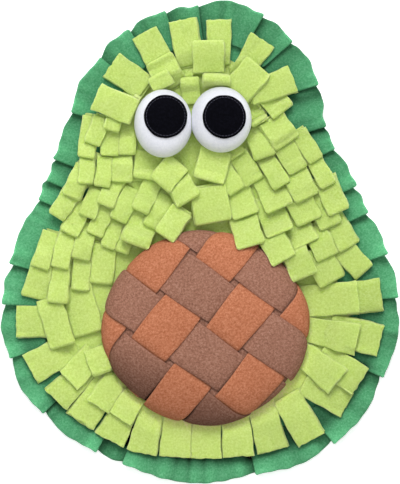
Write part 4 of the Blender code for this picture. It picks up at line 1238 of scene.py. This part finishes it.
@dataclass
class Lay:
    """How high the cloth already laid reaches, on a grid of square cells, and how a tab settles on it."""

    dome: Dome
    eyes: tuple[Eye, ...]
    pit_laid: bool = False
    cell: float = 1.0
    half: float = 280.0
    pit_roof_at: tuple[float, ...] = (88.0, 100.0, 106.0, 109.5, 110.0)
    pit_roof: tuple[float, ...] = (4.8, 10.3, 10.3, 16.0, NOWHERE)

    def __post_init__(self) -> None:
        """Starts with the bare flesh panel."""
        count = int(2 * self.half / self.cell)
        axis = (np.arange(count) + 0.5) * self.cell - self.half
        self.x, self.y = np.meshgrid(axis, axis, indexing="ij")
        self.level = np.full((count, count), FLESH_TOP)

    def cells(self, plan: Array) -> tuple[Array, Array]:
        """The cells that some plan points lie in."""
        cell = ((plan + self.half) / self.cell).astype(int)
        return cell[..., 0], cell[..., 1]

    def look(self, plan: Array) -> Array:
        """The heights under some plan points."""
        return self.level[self.cells(plan)]

    def lay(self, inside: Array, height: Array) -> None:
        """Raises the cells of a mask to a height."""
        self.level[inside] = np.maximum(self.level, height)[inside]

    def lay_ruffle(self, ruffle: Ruffle) -> None:
        """Lays the ruffle's band, two layers higher near a pleat and sloping down beside it.

        Args:
            ruffle: the ruffle.
        """
        outline = ruffle.outline
        along = np.arange(0.0, outline.total, self.cell / 2)
        marks = np.array([outline.length_at(b) for b, _ in PLEATS])
        off = (along[:, None] - marks + outline.total / 2) % outline.total - outline.total / 2
        near = np.clip((ruffle.lap / 2 + ruffle.drop + 6.0 - abs(off).min(axis=1)) / 10.0, 0.0, 1.0)
        stack = GROUND_THICK + CLEAR + ruffle.thick + 2 * ruffle.level * near
        inset = np.arange(0.0, ruffle.insets[0] + 1.0, self.cell / 2)
        np.maximum.at(self.level, self.cells(outline.at(along[:, None], inset)), stack[:, None] + 0 * inset)

    def lay_dome(self, weave: Weave) -> None:
        """Lays the pit and its strips.

        Args:
            weave: the strips' sizes.
        """
        rise, radius = weave.high + weave.thick, self.dome.radius_at(self.x, self.y)
        over = self.dome.height_at(np.minimum(radius, self.dome.radius)) + rise
        self.lay(radius < self.dome.radius + rise, over)
        self.pit_laid = True

    def roof(self, plan: Array) -> Array:
        """The underside of the eyes over some points, and that of the pit until it is laid.

        Args:
            plan: plan points.

        Returns:
            The heights.
        """
        x, y = plan[..., 0], plan[..., 1]
        roof = np.minimum.reduce([eye.under(x, y) for eye in self.eyes])
        if self.pit_laid:
            return roof
        return np.minimum(roof, np.interp(self.dome.radius_at(x, y), self.pit_roof_at, self.pit_roof))

    def lay_tab(self, tab: Tab) -> None:
        """Lays a tab and the tape under its root.

        Args:
            tab: the tab as it lies.
        """
        side = RULE.side_clear
        rel = paired(self.x - tab.root[0], self.y - tab.root[1])
        s, w = rel @ tab.heading, rel @ tab.across
        start = RULE.tape_forward - RULE.tape_width / 2 - side
        self.lay((s > start) & (s < tab.length + side) & (abs(w) < tab.half_width(s) + side), tab.top(s))

    def lay_joint(self, tab: Tab, after: Tab) -> None:
        """Lays the tape between two neighbours' roots: every cell near the line that joins them.

        Args:
            tab: a tab.
            after: the next one.
        """
        side = math.copysign(1.0, (after.root - tab.root) @ tab.across)
        inset = RULE.ramp + 0.5
        start, stop = (
            one.root + one.heading * RULE.tape_forward - one.across * way * (one.root_width / 2 - inset)
            for one, way in ((tab, -side), (after, side))
        )
        run = stop - start
        share = np.clip(((self.x - start[0]) * run[0] + (self.y - start[1]) * run[1]) / (run @ run), 0.0, 1.0)
        off = np.hypot(self.x - start[0] - share * run[0], self.y - start[1] - share * run[1])
        self.lay(off < RULE.tape_width / 2 + 1.5, max(tab.under[0], after.under[0]) + RULE.tape_thick)

    @staticmethod
    def settled(need: Array, s: Array, along: Array, base: float) -> Array:
        """The lowest heights at a tab's stations that hold it over the need at every sample.

        The worst shortfall is pushed up at the stations beside it, again and again.

        Args:
            need: the height needed at each sample.
            s: the samples' lengths from the root.
            along: the stations' lengths from the root.
            base: the root's height.

        Returns:
            The stations' heights.
        """
        heights = np.full(len(along), base)
        for _ in range(60):
            short = np.where(s > RULE.root_flat, need - np.interp(s, along, heights), 0.0)
            worst = int(np.argmax(short))
            if short[worst] < 0.02:
                break
            i = min(int(np.searchsorted(along, s[worst], "right")) - 1, len(along) - 2)
            share = (s[worst] - along[i]) / (along[i + 1] - along[i])
            near = 0.0 if i == 0 else 1.0 - share
            push = short[worst] / (near * (1.0 - share) + share * share)
            heights[i : i + 2] += np.array([near, share]) * push
        return heights

    def laid(self, tab: Tab) -> Tab:
        """The tab shortened at its root and bent so that it lies lowest on the cloth below.

        Args:
            tab: the tab as cut.

        Returns:
            The tab as it lies.
        """
        back = RULE.tape_width / 2 - RULE.tape_forward + 0.5
        s = np.arange(-back, tab.length + 0.6, 0.5)
        spread = np.linspace(-1.0, 1.0, 25)[None, :] * (tab.half_width(s)[:, None] + 0.5)
        spots = tab.plan(s[:, None], spread)
        floor, roof = self.look(spots).max(axis=1), self.roof(spots).min(axis=1)
        best, best_cost, best_clash = tab, math.inf, math.inf
        for cut in np.arange(0.0, tab.length - RULE.shortest, RULE.cut_step):
            if cut > RULE.cut_share * tab.length and best_clash <= 0.0:
                break
            length, kept = tab.length - cut, s >= cut - back
            run = np.minimum(s[kept] - cut, length)
            seat = floor[kept & (s <= cut + RULE.root_flat)].max() + CLEAR + RULE.tape_bite
            start = replace(
                tab, root=tab.root + tab.heading * cut, length=length, cut=float(cut),
                root_width=2 * float(tab.half_width(cut)),
            )
            for share in RULE.stations:
                along = length * np.array(share)
                under = self.settled(floor[kept] + RULE.lay_clear, run, along, seat)
                trial = replace(start, along=along, under=under)
                clash = max(0.0, float((trial.top(run) + RULE.roof_clear - roof[kept]).max()))
                cost = under.max() + RULE.cut_cost * cut + RULE.clash_cost * clash
                if cost < best_cost:
                    best, best_cost, best_clash = trial, cost, clash
        return best

    def row(self, row: Row) -> list[Tab]:
        """Places a row's tabs over the cloth already laid, each narrow enough to clear its neighbours.

        Args:
            row: the row as planned.

        Returns:
            Its tabs as they lie.
        """
        tips = row.every_tip()
        ends, turns = tips[:, :2], np.radians(tips[:, 2])
        headings = paired(np.cos(turns), np.sin(turns))
        roots = ends - headings * row.length
        widths = paired(tips[:, 3], tips[:, 3])
        for k in range(row.count - 1):
            side = headings[k] + headings[k + 1]
            side = np.array([-side[1], side[0]]) / np.linalg.norm(side)
            for end, spots in enumerate((roots, ends)):
                room = abs((spots[k + 1] - spots[k]) @ side) - RULE.apart
                widths[k : k + 2, end] *= min(1.0, room / widths[k : k + 2, end].mean())
        across = paired(-headings[:, 1], headings[:, 0])
        flat = np.zeros(4)
        return [
            self.laid(Tab(roots[k], headings[k], across[k], *widths[k], row.length, flat, flat))
            for k in range(row.count)
        ]


@dataclass
class TabRow:
    """One sewn row of doubled fleece strips on its tape, the cloth below it and its place in the order."""

    row: Row
    tabs: list[Tab]
    lay: Lay
    number: int
    droop: float = 4.0
    curl: float = 1.3
    skew: float = 1.2
    puff: float = 2.6
    spread: float = 0.8
    tuck: float = 9.0
    rag: float = 0.42
    swell: float = 0.9
    twist: float = 0.8
    sway: float = 0.03
    dent: float = 0.5
    dent_reach: float = 3.5
    corner: float = 0.9
    rag_reach: float = 4.0
    side_waves: tuple[tuple[float, float], ...] = ((4.9, 2.6), (5.3, 2.9))
    tone_chance: float = 0.03
    right_painted_shade: float = 0.08

    def course(self, tab: Tab, open_tip: float) -> tuple[Array, Array]:
        """A doubled strip's way there and back.

        A folded strip turns at its tip in a half ellipse, and a cut one at its root. Past the root both
        run on under the cloth above them.

        Args:
            tab: where the tab lies.
            open_tip: how far its tip puffs open.

        Returns:
            Lengths from the root, and the share from the lower layer, 0, to the upper one, 1.
        """
        length = tab.length
        back = -self.tuck if self.row.layer is Layer.UNDER_PIT else -min(tab.cut, self.tuck)
        if self.row.ends is Ends.CUT:
            low = np.r_[length, length - 0.7, np.linspace(length - 2.5, back + 1.0, 16)]
            return np.r_[low, back, low[::-1]], np.r_[np.zeros(18), 0.5, np.ones(18)]
        depth = 0.46 * (RULE.thick[-1] - FLEECE + open_tip)
        arc = np.linspace(0.0, math.pi, 13)[1:-1]
        low, high = np.linspace(back, length - depth, 14), np.linspace(length - depth, back, 24)
        s = np.r_[low, length - depth + depth * np.sin(arc), high]
        return s, np.r_[np.zeros(14), (1 - np.cos(arc)) / 2, np.ones(24)]

    def strip(self, tab: Tab, rng: np.random.Generator) -> tuple[Shell, float, float]:
        """Builds one doubled strip.

        Its middle line runs along the lower layer, turns and comes back along the upper one, and sinks
        to the mat past the root. Across it each layer curls as the square of the share from its middle,
        twists towards its tip, and droops where the cloth below leaves room. Its side edges wave, and
        its cut ends are ragged. Strips on the mat's right lie flatter and are painted darker, painted
        shade for the light falling off there, and light is painted beside the pit's rim where the pit's
        shadow falls.

        Args:
            tab: where the tab lies.
            rng: the tab's own chance.

        Returns:
            The skin, and the strip's width and length as cut.
        """
        folded, length = self.row.ends is Ends.FOLDED, tab.length
        u = COARSE if folded else FINE
        flat = float(eased((tab.root[0] + 10.0) / 60.0))
        if folded:
            open_tip = rng.uniform(0.15, 1.0) ** 1.5 * self.puff * (1 - 0.6 * flat)
        else:
            open_tip = rng.uniform(0.0, 0.5)
        s, upper = self.course(tab, open_tip)
        half = tab.half_width(s)[:, None] + self.spread
        corner = self.corner * eased((s - length + 3.0) / 3.0)[:, None] ** 2 if folded else 0.0
        phases = rng.uniform(0.0, TURN, 4).reshape(2, 2)
        left, right = (
            (0.32 * np.sin(s / long + a) + 0.2 * np.sin(s / short + b))[:, None]
            for (long, short), (a, b) in zip(self.side_waves, phases)
        )
        w = u * (half - corner) + np.where(u > 0, u, 0.0) * left + np.where(u < 0, u, 0.0) * right
        slide = (1 - upper) * rng.uniform(-self.skew, self.skew)
        slide = slide + (s - length / 2) * (1 - upper) * rng.uniform(-self.sway, self.sway)
        stretch = np.zeros_like(w)
        if not folded:
            knots = rng.normal(0.0, self.rag, (2, 9)) + rng.uniform(-1.0, 0.6, (2, 1))
            ragged = np.stack([np.interp(u, np.linspace(-1.0, 1.0, 9), one) for one in knots])
            tipward = eased((s - length + self.rag_reach) / self.rag_reach)[:, None]
            stretch = tipward * np.where(upper[:, None] > 0.5, ragged[1], ragged[0])
        plan = tab.plan(s[:, None] + stretch, w + slide[:, None])
        at = np.clip(s, 0.0, length)
        share, layer = (at / length)[:, None], upper[:, None]
        base = bent_through(at, tab.along, tab.under)[:, None]
        sunk = np.clip(-s * 0.5, 0.0, max(float(tab.under[0]) - FLESH_TOP - RULE.lay_clear, 0.0))[:, None]
        slack = base - self.lay.look(plan) - RULE.lay_clear
        for _ in range(2):
            slack[1:-1] = (slack[:-2] + 2 * slack[1:-1] + slack[2:]) / 4
            slack[:, 1:-1] = (slack[:, :-2] + 2 * slack[:, 1:-1] + slack[:, 2:]) / 4
        limit = (self.droop + 2.0 * flat) * share**1.5 * (0.3 + 0.35 * flat + (0.7 - 0.35 * flat) * u**2)
        drop = 0.7 * np.clip(slack, 0.0, limit)
        gap = (tab.thickness(at) - FLEECE)[:, None]
        swell = rng.uniform(0.0, self.swell) * np.sin(np.pi * share) + open_tip * share**2.2
        curl = -(1 - layer) * rng.uniform(0.0, self.curl) - layer * rng.uniform(-0.3, self.curl)
        twist = rng.uniform(-self.twist, self.twist) * u * share
        dent = layer * rng.uniform(0.0, self.dent)
        dent = dent * np.exp(-(((s - rng.uniform(0.3, 0.8) * length) / self.dent_reach) ** 2))[:, None]
        height = base - sunk + FLEECE / 2 + layer * (gap + swell * (1 - 0.5 * u**2))
        height = height - drop - dent + curl * (u**2 - 0.25) * share**1.5 + twist
        surface = raised(plan, height)
        run = lengths(surface[:, len(u) // 2])
        cut = paired(w, run[:, None]) + rng.uniform(0.0, 400.0, 2)
        tone = rng.uniform(-self.tone_chance, self.tone_chance)
        # Painted shade on the mat's right side, and painted light beside the pit's rim.
        tone = tone - self.right_painted_shade * float(eased((tab.root[0] + 20.0) / 120.0))
        skin = slab(surface, FLEECE, cut, tone=tone + self.lay.dome.painted_light_at(plan))
        return skin, float(2 * half.mean()), float(run[-1])

    def tape(self) -> Shell:
        """Builds the narrow strip that holds the roots, stepped up where a root lies higher.

        Returns:
            The tape's skin.
        """
        order = list(self.tabs)
        if len(order) > 1 and (order[1].root - order[0].root) @ order[0].across < 0:
            order.reverse()
        level = [tab.under[0] - RULE.tape_bite for tab in order]
        spots = []
        for k, tab in enumerate(order):
            half = tab.root_width / 2 - 0.4
            before, after = max(level[max(k - 1, 0) : k + 1]), max(level[k : k + 2])
            for side, bottom in (
                (-half, before), (-half + RULE.ramp, level[k]), (half - RULE.ramp, level[k]), (half, after),
            ):
                middle = tab.root + tab.across * side + tab.heading * RULE.tape_forward
                spots.append((*middle, bottom + RULE.tape_thick / 2, *tab.heading))
        line = np.array(spots)
        reach = np.array([-1.0, -0.85, 0.0, 0.85, 1.0]) * RULE.tape_width / 2
        plan = line[:, None, :2] + line[:, None, 3:] * reach[None, :, None]
        cut = paired(reach, lengths(line[:, :2])[:, None])
        return slab(raised(plan, line[:, 2:3]), RULE.tape_thick, cut, tone=-0.03)

    def build(self) -> Piece:
        """Builds the row's mesh, with each strip's chance from its place, and gives it its cloth.

        Returns:
            The row.
        """
        skins, widths, runs = zip(*(
            self.strip(tab, np.random.default_rng([self.number, k])) for k, tab in enumerate(self.tabs)
        ))
        skin = Shell.joined([self.tape(), *skins])
        piece = skin.put(f"sewn_{self.row.name}", LEAF, f"tabs_{self.row.name}")
        return piece


# ---------------------------------------------------------------- stage


@dataclass
class Stage:
    """The pale floor and backdrop, the soft studio light and the camera straight above."""

    view_height: float = 513.04
    distance: float = 5000.0
    target_level: float = 12.0
    backdrop: float = 14000.0
    floor_level: float = -0.2
    sensor: float = 36.0
    sky: float = 0.32

    def paper(self, name: str, points: Array, faces: Array, shade: float, glow: float) -> Piece:
        """Hangs or lays a sheet of plain paper that glows a little.

        Args:
            name: the sheet's name.
            points: its points in millimetres.
            faces: its faces.
            shade: its grey.
            glow: its emission's strength.

        Returns:
            The sheet.
        """
        mesh = bpy.data.meshes.new(name)
        mesh.from_pydata((points * MM).tolist(), [], faces.tolist())
        paint = bpy.data.materials.new(f"{name}_paper")
        paint.use_nodes = True
        NodeSheet(paint).feed(paint.node_tree.nodes["Principled BSDF"], {
            "Base Color": (shade, shade, shade, 1.0),
            "Roughness": 0.9,
            "Emission Color": (1.0, 1.0, 1.0, 1.0),
            "Emission Strength": glow,
        })
        mesh.materials.append(paint)
        sheet = bpy.data.objects.new(name, mesh)
        bpy.context.scene.collection.objects.link(sheet)
        return sheet

    def floor(self) -> None:
        """Lays the floor, and stands a round backdrop behind it that only the camera sees."""
        side, level, count = self.backdrop, self.floor_level, 96
        corners = np.array([(x * side, y * side, level) for x, y in ((-1, -1), (1, -1), (1, 1), (-1, 1))])
        self.paper("floor", corners, np.array([[0, 1, 2, 3]]), 0.93, 0.5)
        turn = around(count)
        ring = np.hstack([side * np.cos(turn), side * np.sin(turn), 0 * turn + level])
        here = np.arange(count)
        after = np.roll(here, -1)
        faces = np.stack([after, here, here + count, after + count], axis=1)
        wall = self.paper("backdrop", np.vstack([ring, ring + (0.0, 0.0, side)]), faces, 0.0, 0.8)
        wall.visible_diffuse = wall.visible_glossy = wall.visible_shadow = wall.visible_transmission = False

    def light(self, place: tuple[float, float, float], size: float, power: float) -> None:
        """Hangs a square soft light that faces the mat.

        Args:
            place: where it hangs, in metres.
            size: its side, in metres.
            power: its power in watts.
        """
        lamp = bpy.data.lights.new("softbox", "AREA")
        lamp.shape, lamp.size, lamp.energy = "SQUARE", size, power
        holder = bpy.data.objects.new("softbox", lamp)
        holder.location = place
        x, y, z = place
        holder.rotation_euler = (math.atan2(math.hypot(x, y), z), 0.0, math.atan2(-x, y) + math.pi)
        bpy.context.scene.collection.objects.link(holder)

    def camera(self) -> None:
        """Hangs the camera straight above the mat, so that the long side of its view is the photo's."""
        lens = bpy.data.cameras.new("camera")
        lens.sensor_width = self.sensor
        lens.lens = self.sensor * (self.distance - self.target_level) / self.view_height
        lens.clip_start, lens.clip_end = 0.1, 50.0
        camera = bpy.data.objects.new("camera", lens)
        camera.location = (0.0, 0.0, self.distance * MM)
        bpy.context.scene.collection.objects.link(camera)
        bpy.context.scene.camera = camera

    def build(self) -> None:
        """Builds the stage and sets the plain colour view."""
        self.floor()
        self.light((-0.2, 3.1, 4.0), 2.4, 212.0)
        self.light((-0.1, -0.4, 2.4), 2.2, 22.0)
        self.camera()
        scene = bpy.context.scene
        scene.world = bpy.data.worlds.new("studio")
        scene.world.use_nodes = True
        sky = scene.world.node_tree.nodes["Background"]
        sky.inputs["Color"].default_value = (1.0, 1.0, 1.0, 1.0)
        sky.inputs["Strength"].default_value = self.sky
        scene.view_settings.view_transform = "Standard"


def main() -> None:
    """Builds the mat's looks piece by piece, from the ground up."""
    logging.basicConfig(level=logging.INFO, format="%(message)s")
    for finish in (LEAF, PINE, RUST, BROWN, SNOW, INK, THREAD):
        finish.material()
    outline, dome = Outline(), Dome()
    ruffle, weave = Ruffle(outline), Weave(dome)
    panels = (
        Panel("ground_panel", "ground", GROUND_INSET, 0.0, GROUND_THICK, PINE),
        Panel("flesh_panel", "flesh", FLESH_INSET, GROUND_THICK + CLEAR, FLESH_THICK, LEAF),
    )
    made = [panel.build(outline, dome) for panel in panels] + [ruffle.build()]
    lay = Lay(dome, EYES)
    lay.lay_ruffle(ruffle)
    for number, row in enumerate(ROWS):
        if row.layer is Layer.OVER_PIT and not lay.pit_laid:
            lay.lay_dome(weave)
            made += weave.build()
        tabs = lay.row(row)
        made.append(TabRow(row, tabs, lay, number).build())
        for tab in tabs:
            lay.lay_tab(tab)
        for tab, after in zip(tabs, tabs[1:]):
            lay.lay_joint(tab, after)
    for eye in EYES:
        made += eye.build()
    for piece in made:
        LOG.info("%s: %d faces", piece.name, len(piece.data.polygons))
    Stage().build()


if __name__ == "__main__":
    main()
